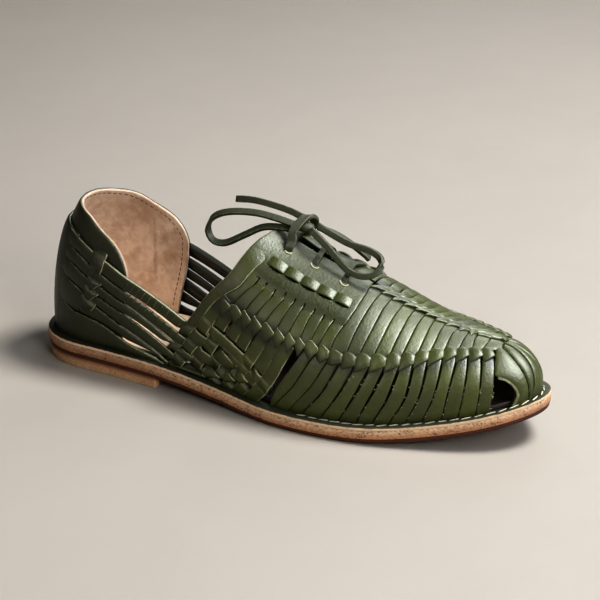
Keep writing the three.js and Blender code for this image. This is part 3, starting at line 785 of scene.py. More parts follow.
class SHOE_OT_stage(bpy.types.Operator):
    """Camera, floor and studio lamps"""
    bl_idname = "shoe.stage"
    bl_label = "Stage"

    def execute(self, context):
        scene = context.scene
        data = bpy.data.cameras.new("photo_camera")
        data.lens = scene.shoe_sizes.lens
        data.sensor_width = SENSOR_WIDTH
        data.clip_start = NEAREST
        camera = bpy.data.objects.new("photo_camera", data)
        aimed(camera, CAMERA_SPOT, CAMERA_AIM)
        scene.camera = camera
        half = FLOOR_SIZE / 2
        mesh = bpy.data.meshes.new("floor")
        corners = [(-half, -half, 0), (half, -half, 0), (half, half, 0), (-half, half, 0)]
        mesh.from_pydata(corners, [], [(0, 1, 2, 3)])
        floor = bpy.data.objects.new("floor", mesh)
        mesh.materials.append(floor_material())
        scene.collection.objects.link(floor)
        for name, spot, aim, size, power, spread, colour, soaks in LAMPS:
            lamp = bpy.data.lights.new(name, "AREA")
            lamp.shape = "DISK"
            lamp.size = size
            lamp.energy = power
            lamp.color = colour
            lamp.spread = spread
            body = bpy.data.objects.new(name, lamp)
            body.visible_diffuse = soaks
            body.visible_camera = False
            aimed(body, spot, aim)
        world = bpy.data.worlds.new("studio")
        world.use_nodes = True
        sky = world.node_tree.nodes["Background"]
        plain(sky, Color=SKY_COLOUR, Strength=SKY_STRENGTH)
        scene.world = world
        scene.view_settings.view_transform = "Standard"
        scene.view_settings.look = "High Contrast"
        return {"FINISHED"}


# Laces

# Path of each lace of the bow from the knot, in metres from the back of the heel.
CORD_ROUTES = {
    "lace_loop_rear": (
        (0.1504, -0.004, 0.0952), (0.140, -0.005, 0.0974), (0.1285, -0.006, 0.0986), (0.114, -0.008, 0.0972),
        (0.1055, -0.009, 0.093), (0.103, -0.010, 0.0862), (0.1065, -0.011, 0.0812), (0.1135, -0.011, 0.081),
        (0.124, -0.009, 0.0866), (0.134, -0.006, 0.0917), (0.1495, -0.004, 0.0928)),
    "lace_loop_front": (
        (0.161, 0.0, 0.0955), (0.169, 0.001, 0.0915), (0.179, 0.001, 0.088), (0.1895, 0.001, 0.0865),
        (0.196, 0.0, 0.0845), (0.1985, -0.002, 0.0815), (0.1965, -0.005, 0.077), (0.190, -0.007, 0.0752),
        (0.1815, -0.007, 0.0774), (0.1705, -0.0055, 0.0864), (0.1598, -0.0045, 0.0945)),
    "lace_end_rear": (
        (0.153, 0.0014, 0.0974), (0.1445, 0.0025, 0.0994), (0.129, 0.004, 0.1008), (0.120, 0.005, 0.1006),
        (0.1115, 0.006, 0.0992)),
    "lace_end_front": (
        (0.1585, 0.0063, 0.0917), (0.167, 0.010, 0.088), (0.174, 0.013, 0.083), (0.181, 0.017, 0.076),
        (0.1822, 0.018, 0.0742)),
}
KNOT_MIDDLE = (0.1553, -0.0012, 0.0938)
KNOT_TOP = (
    (0.1512, -0.0078, 0.0928), (0.1538, -0.0042, 0.0972),
    (0.1562, 0.0003, 0.0990), (0.1575, 0.0042, 0.0962), (0.1565, 0.0062, 0.0912))
# Direction across the broad side of each lace.
CORD_BROAD = {"lace_loop_rear": (0.0, 0.8, 0.6), "lace_loop_front": (0.0, 0.3, 1.0),
              "lace_end_rear": (0.0, 0.45, 0.9), "lace_end_front": (0.0, 1.0, 0.0)}
CORD_STEPS = 48
KNOT_STEPS = 34
KNOT_SIZE = (11.0, 7.0, 6.5)
STRAND_STEPS = 40
EYELET_PLACES = ((0.5165, 0.815), (0.555, 0.825), (0.597, 0.81))
# The strands between the eyelets: lift over the throat, and rise past the eyelet with lift on the way there.
BAR_LIFT = 2.3
BAR_CROWN = 0.8
STRAND_START = ((0.0, -3.2), (0.012, 0.6), (0.05, BAR_LIFT - 0.4))
# The same for the turn of lace that comes out of the rear eyelet into the knot.
KNOT_START = ((0.0, -1.5), (0.012, 2.0), (0.05, 4.4))
# Section of the lace in half widths and half thicknesses, and its raw edges.
LACE_RING = np.array([(-1, -0.75), (-1, 0.75), (-0.92, 0.97), (-0.6, 1), (0, 1.04), (0.6, 1), (0.92, 0.97),
                      (1, 0.75), (1, -0.75), (0.92, -0.97), (0.6, -1), (0, -1.0), (-0.6, -1), (-0.92, -0.97)])
LACE_CUT = np.array([0.3, 0.3, 0.8, 0, 0, 0, 0.8, 0.3, 0.3, 0.8, 0, 0, 0, 0.8])


def lace_tube(hide, path, hint, width, thick, cut=LACE_CUT):
    """A flat lace along a path in millimetres, its broad side square to the hint."""
    tangent = np.gradient(path, axis=0)
    tangent /= np.linalg.norm(tangent, axis=1, keepdims=True)
    hint = filled(hint, path.shape)
    side = hint - (hint * tangent).sum(1)[:, None] * tangent
    side /= np.linalg.norm(side, axis=1, keepdims=True)
    up = np.cross(tangent, side)
    ring = len(LACE_RING)
    points = (path[:, None] + side[:, None] * (LACE_RING[:, 0] * width / 2)[None, :, None]
              + up[:, None] * (LACE_RING[:, 1] * thick / 2)[None, :, None])
    faces = tube_faces(len(path), ring)
    points = points.reshape(-1, 3)
    first = points[faces[0][0]]
    normal = np.cross(points[faces[0][1]] - first, points[faces[0][3]] - first)
    if np.dot(normal, first - path[0]) < 0:
        faces = [face[::-1] for face in faces]
    hide.add(points, faces, np.tile(cut, len(path)), TONES.uniform(-0.4, 0.4))


class SHOE_OT_laces(bpy.types.Operator):
    """Bow, knot and the lace between the eyelets"""
    bl_idname = "shoe.laces"
    bl_label = "Laces"

    def execute(self, context):
        sizes = context.scene.shoe_sizes
        width, thick = sizes.lace_width / MM, sizes.lace_thick / MM
        leather = lace_hide()
        knot = Hide()
        turn, rise = EYELET_PLACES[0]
        foot = [lifted(turn, rise + past, lift) for past, lift in KNOT_START]
        wrap = np.vstack([foot, np.array(KNOT_TOP) / MM])
        lace_tube(knot, through(wrap, KNOT_STEPS), (0.8, 0.35, 0.1), width * 1.3, thick * 1.1)
        knot.bead(np.array(KNOT_MIDDLE) / MM, np.array([1.0, 0.1, -0.3]), np.array([0.0, 0.0, 1.0]), *KNOT_SIZE)
        knot_piece = knot.make("lace_knot_wrap", leather, "green_lace", "lace_knot")
        for name, route in CORD_ROUTES.items():
            path = through(np.array(route) / MM, CORD_STEPS)
            hide = Hide()
            lace_tube(hide, path, CORD_BROAD[name], width, thick)
            piece = hide.make(name + "_leather", leather, "green_lace", name)
            spots = to_row(path)
            tuple(spots[0])
            [tuple(spot) for spot in spots]
        for number, (turn, rise) in enumerate(EYELET_PLACES, 1):
            climb = [(rise + past, lift) for past, lift in STRAND_START] + [(0.92, BAR_LIFT)]
            fall = [(2 - at, lift) for at, lift in climb[::-1]]
            spots = climb + [(1.0, BAR_LIFT + BAR_CROWN)] + fall
            path = through(np.array([lifted(turn, at, lift) for at, lift in spots]), STRAND_STEPS)
            hide = Hide()
            lace_tube(hide, path, (1.0, 0.0, -0.35), width * 0.82, thick * 0.85)
            hide.make(f"lace_strand_{number}", leather, "green_lace", f"lace_bar_{number}")
        return {"FINISHED"}


# Sole

LOOP_SIDE = 150
LOOP_BREAST = 21
CAP_INSET = 11.0
CORNER_SHARE = 0.3
# Grade of a layer's rings from its top to its underside.
RING_TONES = np.array([1, 1, 1, 1, 0.8, 0, -0.8, -1, -1, -1])
LAYER_GAP = 0.06
# From, to and strength of a shade: painted shade on the tan edge towards the heel, the heel's upper layer by
# height, and painted shade in near-black brown on the footbed under the vamp.
TAN_PAINTED_SHADE = (0.01, -0.11, 0.42)
HEEL_SHADE = (0.0035, 0.0064, 0.85)
FOOTBED_PAINTED_SHADE = (-0.09, -0.04, 0.95)
PAINTED_FOOTBED_TINT = (0.03, 0.018, 0.011, 1.0)


def sole_loop(inset, front=None):
    """Plan loop of a sole layer, heel first by way of the outer side."""
    if front is None:
        turn = np.linspace(0, 2, 2 * LOOP_SIDE, endpoint=False)
        return np.column_stack(edge(turn, inset))
    run = front - 2 * inset
    share = math.acos(1 - 2 * run / (SOLE_LENGTH - 2 * inset)) / math.pi
    outer = np.column_stack(edge(np.linspace(0, share, LOOP_SIDE), inset))
    inner = np.column_stack(edge(np.linspace(2 - share, 2, LOOP_SIDE), inset))
    between = np.linspace(0, 1, LOOP_BREAST + 2)[1:-1, None]
    return np.vstack([outer, outer[-1] + (inner[0] - outer[-1]) * between, inner[:-1]])


def slab(hide, rings, front=None):
    """A closed layer from rings of (inset, height of a plan station, cut mark), from the top down."""
    loops, cuts = [], []
    for inset, height, cut in rings:
        loop = sole_loop(inset, front)
        loops.append(np.column_stack([loop, height(loop[:, 0])]))
        cuts.append(np.full(len(loop), cut))
    count = len(loops[0])
    faces = []
    for r in range(len(loops) - 1):
        for j in range(count):
            n = (j + 1) % count
            faces.append((r * count + j, (r + 1) * count + j, (r + 1) * count + n, r * count + n))
    for base, flip in ((0, False), ((len(loops) - 1) * count, True)):
        for j in range(count // 2):
            corners = dict.fromkeys([j, j + 1, count - j - 1, (count - j) % count])
            face = tuple(base + i for i in corners)
            faces.append(face[::-1] if flip else face)
    hide.add(np.vstack(loops), faces, np.concatenate(cuts), np.repeat(RING_TONES, count))


def layer_rings(inset, top, bottom, round_top, round_bottom, waver=0.0):
    """Rings of a layer with eased corners."""
    def height(surface, drop):
        return lambda x: surface(x) + drop

    def between(share):
        return lambda x: top(x) * (1 - share) + bottom(x) * share

    return [
        (inset + CAP_INSET, height(top, 0.0), 0.0), (inset + 3.0, height(top, 0.0), 0.0),
        (inset + round_top, height(top, 0.0), 0.1),
        (inset + CORNER_SHARE * round_top, height(top, -CORNER_SHARE * round_top), 0.6),
        (inset, height(top, -round_top), 1.0), (inset - waver, between(0.5), 1.0),
        (inset, height(bottom, round_bottom), 1.0),
        (inset + CORNER_SHARE * round_bottom, height(bottom, CORNER_SHARE * round_bottom), 0.6),
        (inset + round_bottom, height(bottom, 0.0), 0.1), (inset + CAP_INSET, height(bottom, 0.0), 0.0),
    ]


class SHOE_OT_sole(bpy.types.Operator):
    """Heel lift, outsole, middle sole, green rim and footbed"""
    bl_idname = "shoe.sole"
    bl_label = "Sole"

    def execute(self, context):
        look = context.scene.shoe_finish
        # Painted shade: the tan edge darkens towards the heel.
        tan = sole_material("sole_tan", look.tan_edge, look.tan_low, look.tan_dark, 0.62, 0.55, 0.65, 1.5, 1.4,
                            (*TAN_PAINTED_SHADE, look.tan_dark))
        heel_tan = sole_material("sole_heel", look.tan_low, look.heel_tan, look.tan_dark,
                                 0.5, 0.1, 0.35, 3.0, 0.3, (*HEEL_SHADE, look.outsole), "Z")
        brown = sole_material("sole_brown", look.outsole, look.outsole, darker(look.outsole, 0.5),
                              0.55, 0.5, 0.6, 5.0, 0.5)
        # Painted shade: the footbed darkens to near-black brown under the vamp.
        footbed = sole_material("sole_footbed", look.lining_edge, look.lining_edge, look.lining,
                                0.6, 0.1, 0.5, 1.0, 0.3, (*FOOTBED_PAINTED_SHADE, PAINTED_FOOTBED_TINT))
        under = midsole_underside
        layers = (
            ("heel_block", "heel", heel_tan, "tan_edge", HEEL_BREAST,
             layer_rings(0.8, lambda x: np.full_like(x, HEEL_LIFT - 0.1), np.zeros_like, 0.35, 0.5, 0.15)),
            ("outsole_layer", "outsole", brown, "brown_outsole", None,
             layer_rings(0.5, lambda x: under(x) - LAYER_GAP, lambda x: under(x) - OUTSOLE, 0.35, 0.6)),
            ("midsole_layer", "midsole", tan, "tan_edge", None,
             layer_rings(0.0, lambda x: under(x) + MIDSOLE - LAYER_GAP, under, 0.5, 0.4, 0.12)),
            ("green_rim_layer", "welt", rim_hide(), "green_rim", None,
             layer_rings(0.15, welt_top, lambda x: under(x) + MIDSOLE, 0.45, 0.1)),
            ("footbed_layer", "insole", footbed, "tan_lining", None,
             layer_rings(8.3, lambda x: welt_top(x) + SEAM + INSOLE, lambda x: welt_top(x) + SEAM, 0.6, 0.2)),
        )
        for name, node, material, slot, front, rings in layers:
            hide = Hide()
            slab(hide, rings, front)
            hide.make(name, material, slot, node)
        return {"FINISHED"}


# Counter, lining and the straps round the heel

COUNTER_TOP = ((0.0, 0.577), (0.06, 0.572), (0.12, 0.553), (0.185, 0.52), (0.235, 0.46), (0.268, 0.415),
               (0.286, 0.37), (0.295, 0.33), (0.299, 0.30))
COUNTER_FRONT = 0.299
# Share of its reach that the counter has at the foot.
COUNTER_FOOT = 0.955
# Rise of the foot of the counter and the climbing strips, and of the other strips, tucked below the rim.
FOOT = -0.012
STRIP_FOOT = -0.014
STRAP_THICK = 1.35
STRAP_CROWN = 0.4
INNER_STRETCH = 1.05
CREASE_TURN = -0.2505
# Top and bottom edges of each strap on the outer side, from the heel to where it ends in the weave.
STRAPS = (
    (((0.425, 0.245), (0.44, 0.232), (0.465, 0.215), (0.491, 0.19), (0.503, 0.162), (0.516, 0.122),
    (0.528, 0.085)),
     ((0.425, 0.19), (0.44, 0.18), (0.465, 0.165), (0.488, 0.14), (0.50, 0.11), (0.511, 0.075), (0.52, 0.04))),
    (((0.0, 0.462), (0.06, 0.458), (0.115, 0.447), (0.14, 0.437), (0.17, 0.42), (0.20, 0.397), (0.233, 0.365),
      (0.256, 0.345), (0.28, 0.322), (0.298, 0.303), (0.33, 0.275), (0.36, 0.245), (0.395, 0.207),
      (0.42, 0.178),
      (0.445, 0.158), (0.468, 0.135), (0.482, 0.105), (0.495, 0.075)),
     ((0.0, 0.392), (0.06, 0.390), (0.10, 0.385), (0.15, 0.372), (0.18, 0.357), (0.205, 0.337), (0.225, 0.315),
      (0.252, 0.29), (0.27, 0.272), (0.295, 0.25), (0.34, 0.213), (0.383, 0.168), (0.41, 0.135), (0.44, 0.105),
      (0.465, 0.08), (0.48, 0.05))),
    (((0.0, 0.386), (0.06, 0.384), (0.10, 0.379), (0.15, 0.366), (0.18, 0.351), (0.205, 0.331), (0.225, 0.309),
      (0.252, 0.284), (0.27, 0.266), (0.295, 0.243), (0.34, 0.200), (0.38, 0.155), (0.40, 0.131), (0.42, 0.117),
      (0.445, 0.098), (0.46, 0.077), (0.475, 0.05)),
     ((0.0, 0.33), (0.06, 0.328), (0.14, 0.317), (0.18, 0.297), (0.22, 0.263), (0.255, 0.237), (0.28, 0.212),
      (0.31, 0.187), (0.345, 0.15), (0.38, 0.108), (0.41, 0.08), (0.435, 0.055), (0.46, 0.025))),
    (((0.0, 0.324), (0.06, 0.322), (0.14, 0.311), (0.18, 0.291), (0.22, 0.257), (0.255, 0.231), (0.28, 0.206),
      (0.31, 0.181), (0.345, 0.144), (0.38, 0.098), (0.41, 0.07), (0.432, 0.055), (0.452, 0.032)),
     ((0.0, 0.258), (0.06, 0.256), (0.135, 0.247), (0.16, 0.237), (0.19, 0.217), (0.21, 0.202), (0.25, 0.192),
      (0.28, 0.166), (0.302, 0.152), (0.34, 0.118), (0.366, 0.09), (0.40, 0.045), (0.43, 0.012))),
    (((0.0, 0.252), (0.06, 0.250), (0.135, 0.241), (0.16, 0.231), (0.19, 0.211), (0.21, 0.196), (0.25, 0.186),
      (0.28, 0.160), (0.302, 0.146), (0.34, 0.104), (0.364, 0.074), (0.385, 0.045), (0.405, 0.028),
      (0.428, 0.008)),
     ((0.0, 0.145), (0.06, 0.143), (0.14, 0.136), (0.17, 0.122), (0.195, 0.114), (0.212, 0.135), (0.235, 0.158),
      (0.26, 0.138), (0.285, 0.113), (0.32, 0.078), (0.35, 0.046), (0.375, 0.015), (0.385, 0.0))),
    (((0.205, 0.158), (0.235, 0.154), (0.26, 0.132), (0.285, 0.107), (0.32, 0.072), (0.35, 0.040),
    (0.37, 0.012)),
     ((0.205, 0.112), (0.222, 0.105), (0.25, 0.093), (0.28, 0.073), (0.30, 0.052), (0.33, 0.038),
     (0.352, 0.026),
      (0.366, 0.0))),
    (((0.0, 0.139), (0.06, 0.137), (0.14, 0.13), (0.17, 0.115), (0.19, 0.106), (0.205, 0.104), (0.222, 0.099),
      (0.25, 0.086), (0.28, 0.060), (0.30, 0.037), (0.33, 0.019), (0.352, 0.009), (0.365, 0.0)),
     ((0.0, -0.012), (0.06, -0.012), (0.14, -0.012), (0.20, -0.012), (0.25, -0.012), (0.30, -0.014),
     (0.33, -0.016),
      (0.352, -0.018), (0.362, -0.02))),
)
# Where each strap lies over the crossing strips; elsewhere in the weave it goes under.
STRAP_OVER = (
    ((0.437, 0.491), (0.502, 0.513)),
    ((-1.0, 0.397), (0.407, 0.431), (0.447, 0.469), (0.477, 0.493)),
    ((-1.0, 0.398), (0.414, 0.441), (0.456, 0.473)),
    ((-1.0, 0.375), (0.384, 0.412), (0.43, 0.451)),
    ((-1.0, 0.381), (0.40, 0.427)),
    ((-1.0, 0.5),),
    ((-1.0, 0.5),),
)
WEAVE_MIDDLE = 0.45
WEAVE_SWING = 1.25
WEAVE_EASE = 0.0055
# Centre line, width and lift of the turns that hold the straps at the heel.
KEEPERS = (
    (((0.2435, 0.383), (0.2428, 0.36), (0.2415, 0.32), (0.239, 0.274)), 9.2, (-0.6, 1.7, 2.9, 1.2)),
    (((0.241, 0.272), (0.237, 0.248), (0.232, 0.220)), 10.2, (0.4, 3.2, 2.7)),
    (((0.235, 0.232), (0.230, 0.206), (0.2245, 0.176)), 10.6, (0.6, 3.3, 2.6)),
    (((0.229, 0.188), (0.223, 0.160), (0.217, 0.124)), 10.8, (0.6, 3.2, 1.7)),
)
KEEPER_SHAPE = ((0.0, 0.78), (0.35, 1.0), (0.7, 0.92), (0.88, 0.66), (0.97, 0.36), (1.0, 0.16))
# Panel round the back of the heel that the straps are cut from: how far its top stands above theirs,
# its half widths low and high, and its lift.
STAY_ABOVE = 0.003
STAY_HALF = (26.0, 30.0)
STAY_LIFT = 2.35
# Short pale scores on the straps: turn of the first, spacing, how many, turn that each leans by.
HATCH_FROM = 0.302
HATCH_STEP = 0.0098
HATCH_COUNT = 10
HATCH_LEAN = 0.0065
# Strap, rise of a score's foot above the strap's lower edge, and its length.
HATCHES = ((1, 0.009, 0.028), (2, 0.022, 0.026))


def strap_over(number, turn):
    """1 where a strap lies over, -1 where it lies under."""
    state = np.full(np.shape(turn), -1.0)
    for low, high in STRAP_OVER[number]:
        begun = smoothstep(turn, low - WEAVE_EASE, low + WEAVE_EASE)
        ended = smoothstep(turn, high - WEAVE_EASE, high + WEAVE_EASE)
        state = np.maximum(state, 2 * begun * (1 - ended) - 1)
    return state


def strap_lift(number, turn):
    """Height of a strap as it goes over and under the climbing strips."""
    return WEAVE_MIDDLE + WEAVE_SWING * strap_over(number, np.abs(turn))


def strap_edges(number, turn):
    """Paleness of a strap's top and bottom edge: faint round the heel, raw in the weave."""
    weave = smoothstep(np.abs(turn), 0.30, 0.40)
    low = 0.32 + 0.68 * weave
    top = low + 0.3 * smoothstep(np.abs(turn), 0.1, 0.13) * (1 - weave)
    if number == 1:
        top = np.maximum(top, 0.9 * smoothstep(np.abs(turn), 0.235, 0.25))
    return top, low


def painted_dive_shade(lift):
    """Painted shade on a strip of the weave, from 0 to 0.75, by how far it has gone under."""
    return 0.75 * (1 - smoothstep(lift, WEAVE_MIDDLE - WEAVE_SWING, WEAVE_MIDDLE + 0.5 * WEAVE_SWING))


def round_heel(points):
    """A line of the outer side carried round the heel to the inner side."""
    points = np.asarray(points, float)
    back = points[points[:, 0] > 0][::-1] * np.array([-1, 1])
    return np.vstack([back, points])


def counter_grid():
    """Places of the counter from the inner front round the heel to the outer front, foot to top."""
    share = np.concatenate([-np.linspace(1, 0, 60), np.linspace(0, 1, 60)[1:]])
    turn = np.sign(share) * (1 - (1 - np.abs(share)) ** 1.25) * COUNTER_FRONT
    top = along(np.array(COUNTER_TOP), 1, np.abs(turn))
    turn = np.where(turn < 0, turn * INNER_STRETCH, turn)
    v = eased(34)[:, None]
    return turn[None] * counter_narrow(v, 0.8), FOOT + (top - FOOT)[None] * v


def counter_narrow(height, full):
    """Share of the counter's reach: less at its foot, all of it from the height full."""
    return COUNTER_FOOT + (1 - COUNTER_FOOT) * smoothstep(height, 0.0, full)


def back_panel(hide):
    """The uncut middle of the straps, round the back of the heel."""
    u, v = np.linspace(-1, 1, 41)[None, :], eased(30)[:, None]
    half = STAY_HALF[0] + (STAY_HALF[1] - STAY_HALF[0]) * v
    turn = half * u / turn_speed(np.array([[0.03, 0.2]]))
    top = along(np.array(STRAPS[1][0]), 1, np.abs(turn)) + STAY_ABOVE
    settle = (1.0 * smoothstep(np.abs(u), 0.72, 1.0) + 0.6 * smoothstep(v, 0.9, 1.0)
              + 0.8 * smoothstep(-v, -0.1, 0.0))
    hide.plate(turn, FOOT + (top - FOOT) * v, STAY_LIFT - settle, 2.2, tone=-0.2, drop=(0.35, 0.1),
               edge_cut=0.2)


class SHOE_OT_heel(bpy.types.Operator):
    """Counter with its suede lining, the long straps, the panel they are cut from and their keepers"""
    bl_idname = "shoe.heel"
    bl_label = "Heel"

    def execute(self, context):
        leather = green_hide()
        turn, rise = counter_grid()
        counter = Hide()
        counter.plate(turn, rise, 0.0, 1.0, tone=-0.3, drop=(0.25, 0.06), edge_cut=0.35)
        counter.make("heel_counter", leather, "green_leather", "upper")
        lining = Hide()
        crease = 0.9 * np.exp(-((turn - CREASE_TURN - 0.03 * (rise - 0.3)) / 0.0045) ** 2)
        wrinkle = 0.45 * np.sin(turn * 70.0 + rise * 62.0)
        wrinkle = wrinkle * smoothstep(-turn, 0.24, 0.262) * (1 - smoothstep(-turn, 0.285, 0.3))
        reach_in = smoothstep(rise, 0.08, 0.16) * (1 - smoothstep(rise, 0.36, 0.46))
        # Painted shade in the crease and the folds, on the lining's inner face.
        painted_crease_shade = np.clip(0.45 * crease + 0.3 * np.maximum(wrinkle, 0), 0, 1) * reach_in
        lining.plate(turn, rise, -1.02, 1.35 + (crease + wrinkle) * reach_in, tone=0.0, drop=(0.1, 0.0),
                     edge_cut=0.3, under_cut=-painted_crease_shade)
        lining.make("counter_lining", suede_material("suede_lining"), "tan_lining", "upper")
        straps = Hide()
        for number, pair in enumerate(STRAPS):
            whole = pair[0][0][0] == 0
            for flip in (False,) if whole else (False, True):
                if whole:
                    left, right = (through(round_heel(points), 190) for points in pair)
                else:
                    left, right = (through(points, 60) for points in pair)
                lift = strap_lift(number, (left + right)[:, 0] / 2)
                edges = strap_edges(number, left[:, 0])
                # Straps carry painted shade where they go under.
                straps.strip(on_side(left, flip), on_side(right, flip), lift, STRAP_THICK, STRAP_CROWN,
                             raw=edges, deep=painted_dive_shade(lift))
        for number, foot, length in HATCHES:
            low_table = np.array(STRAPS[number][1])
            for k in range(HATCH_COUNT):
                at = HATCH_FROM + HATCH_STEP * (k + 0.5 * (number == 2))
                low = along(low_table, 1, at) + foot
                line = np.column_stack([np.linspace(at, at + HATCH_LEAN, 8), np.linspace(low, low + length, 8)])
                left, right = sides(line, 0.25 + 0.4 * np.sin(np.linspace(0, np.pi, 8)))
                straps.strip(left, right, strap_lift(number, line[:, 0]) + 0.65, 0.7, 0.1, raw=(0.8, 0.8))
        straps.make("heel_straps", leather, "green_leather", "upper")
        keepers = Hide()
        for line, width, lift in KEEPERS:
            for flip in (False, True):
                centre = through(np.column_stack([line, lift]), 22)
                spots, height = on_side(centre[:, :2], flip), centre[:, 2]
                left, right = sides(spots, width * by_turn(KEEPER_SHAPE, np.linspace(0, 1, 22)))
                keepers.strip(left, right, height, 1.4, 0.5, raw=(0.8, 0.65))
        back_panel(keepers)
        keepers.make("heel_keepers", leather, "green_leather", "upper")
        return {"FINISHED"}


# Waist weave

# Centre lines of the strips that climb from the waist through the straps to the braid.
CLIMBERS = (
    ((0.378, 0.0), (0.398, 0.075), (0.421, 0.17), (0.433, 0.235), (0.4415, 0.285), (0.451, 0.34),
    (0.46, 0.385)),
    ((0.404, 0.0), (0.42, 0.07), (0.439, 0.15), (0.4525, 0.25), (0.461, 0.30), (0.470, 0.345)),
    ((0.424, 0.0), (0.44, 0.07), (0.458, 0.15), (0.4725, 0.25), (0.480, 0.30), (0.489, 0.345)),
    ((0.442, 0.0), (0.458, 0.07), (0.475, 0.15), (0.4885, 0.25), (0.495, 0.30), (0.503, 0.345)),
    ((0.459, 0.0), (0.475, 0.07), (0.4915, 0.15), (0.507, 0.25), (0.513, 0.30), (0.519, 0.34)),
    ((0.476, 0.0), (0.492, 0.07), (0.51, 0.15), (0.5235, 0.25), (0.529, 0.30), (0.535, 0.34)),
    ((0.495, 0.0), (0.511, 0.06), (0.5265, 0.15), (0.539, 0.25), (0.545, 0.30), (0.55, 0.34)),
)
CLIMBER_WIDTH = 7.3
COLLAR_BAND_LEFT = ((0.345, 0.0), (0.371, 0.075), (0.3935, 0.165), (0.407, 0.22), (0.4185, 0.275),
                    (0.43, 0.335),
                    (0.442, 0.395), (0.4555, 0.47), (0.4625, 0.53), (0.468, 0.60), (0.474, 0.68), (0.478, 0.74))
COLLAR_BAND_RIGHT = ((0.360, 0.0), (0.386, 0.07), (0.409, 0.16), (0.422, 0.215), (0.433, 0.275),
                     (0.4445, 0.335),
                     (0.4565, 0.385), (0.4745, 0.465), (0.484, 0.55), (0.490, 0.61), (0.498, 0.68),
                     (0.503, 0.74))


def climber_lift(line):
    """Height of a climbing strip: under where a strap lies over it, over where the strap goes under."""
    lift = np.full(len(line), 0.85)
    for number, (top_edge, low_edge) in enumerate(STRAPS):
        turn, rise = line[:, 0], line[:, 1]
        inside_ends = (turn > top_edge[0][0]) & (turn < top_edge[-1][0])
        top, low = (along(np.array(points), 1, turn) for points in (top_edge, low_edge))
        cover = smoothstep(rise, low - 0.012, low + 0.004) * (1 - smoothstep(rise, top - 0.004, top + 0.012))
        target = WEAVE_MIDDLE - WEAVE_SWING * strap_over(number, turn)
        lift = np.where(inside_ends, lift + (target - lift) * cover, lift)
    return lift


class SHOE_OT_waist(bpy.types.Operator):
    """Strips that climb through the straps, and the band along the collar"""
    bl_idname = "shoe.waist"
    bl_label = "Waist weave"

    def execute(self, context):
        hide = Hide()
        for flip in (False, True):
            for line in CLIMBERS:
                spots = through(reach(line, FOOT, line[-1][1]), 64)
                lift = climber_lift(spots)
                left, right = sides(on_side(spots, flip), CLIMBER_WIDTH)
                # Painted shade where a climbing strip goes under a strap and below the braid.
                deep = np.maximum(painted_dive_shade(lift), 0.62 * smoothstep(spots[:, 1], 0.25, 0.315))
                hide.strip(left, right, lift, 1.3, 0.35, deep=deep)
            left, right = through(COLLAR_BAND_LEFT, 80), through(COLLAR_BAND_RIGHT, 80)
            lift = climber_lift((left + right) / 2)
            rise = (left + right)[:, 1] / 2
            lift = np.where(rise > 0.26, 1.25 - 0.75 * smoothstep(rise, 0.6, 0.74), lift)
            hide.strip(on_side(left, flip), on_side(right, flip), lift, 1.4, 0.3)
        hide.make("waist_weave", green_hide(), "green_leather", "upper")
        return {"FINISHED"}


# Forefoot: lower strips, braid

# Slits between the lower strips, from the rim up to the braid, and their widths.
LOWER_SLITS = (
    ((0.522, 0.0), (0.533, 0.09), (0.5455, 0.17), (0.560, 0.27), (0.565, 0.31)),
    ((0.536, 0.035), (0.558, 0.145), (0.578, 0.30)),
    ((0.555, 0.03), (0.581, 0.17), (0.597, 0.30)),
    ((0.573, 0.03), (0.59, 0.12), (0.60, 0.19), (0.612, 0.305)),
    ((0.597, 0.035), (0.607, 0.10), (0.618, 0.18), (0.632, 0.32)),
    ((0.62, 0.04), (0.63, 0.12), (0.64, 0.21), (0.651, 0.34)),
    ((0.643, 0.05), (0.652, 0.14), (0.66, 0.22), (0.670, 0.36)),
    ((0.665, 0.06), (0.675, 0.15), (0.682, 0.25), (0.689, 0.39)),
    ((0.687, 0.06), (0.697, 0.15), (0.703, 0.24), (0.7075, 0.42)),
    ((0.709, 0.08), (0.717, 0.17), (0.723, 0.28), (0.7275, 0.46)),
    ((0.731, 0.08), (0.74, 0.2), (0.746, 0.33), (0.751, 0.50)),
    ((0.757, 0.1), (0.765, 0.3), (0.774, 0.5)),
    ((0.782, 0.07), (0.787, 0.2), (0.792, 0.35), (0.797, 0.52)),
    ((0.812, 0.07), (0.816, 0.2), (0.82, 0.35), (0.826, 0.55)),
    ((0.838, 0.05), (0.84, 0.13), (0.8445, 0.25), (0.849, 0.38), (0.86, 0.6)),
)
SLIT_WIDTHS = (0.0, 0.7, 0.5, 1.5, 1.8, 2.1, 2.1, 2.0, 1.8, 1.5, 1.3, 1.2, 1.0, 1.0, 0.4)
# Share of a slit's width that stays open on the outer and the inner side.
OUTER_GAP = 0.62
INNER_GAP = 0.35
FRAYS_A_SLIT = 6
FRAY_WIDTH = 0.32
# Turns of the braid: where each begins, its peak, the valleys between and its lower corners.
BRAID_EDGES = (0.45, 0.465, 0.482, 0.496, 0.511, 0.528, 0.542, 0.556, 0.569, 0.5855, 0.600, 0.617, 0.634, 0.652,
               0.671, 0.689, 0.708, 0.728, 0.752, 0.775, 0.80, 0.831, 0.862)
BRAID_PEAKS = ((0.453, 0.375), (0.474, 0.38), (0.4865, 0.385), (0.5015, 0.39), (0.518, 0.395), (0.533, 0.395),
               (0.548, 0.398), (0.562, 0.395), (0.577, 0.405), (0.591, 0.405), (0.606, 0.402), (0.624, 0.415),
               (0.643, 0.435), (0.662, 0.46), (0.681, 0.495), (0.700, 0.525), (0.719, 0.565), (0.741, 0.61),
               (0.765, 0.65), (0.79, 0.67), (0.82, 0.70), (0.85, 0.72))
BRAID_VALLEYS = ((0.45, 0.345), (0.465, 0.357), (0.55, 0.36), (0.60, 0.38), (0.634, 0.40), (0.671, 0.445),
                 (0.708, 0.51), (0.728, 0.56), (0.752, 0.60), (0.775, 0.635), (0.80, 0.66), (0.831, 0.69),
                 (0.862, 0.70))
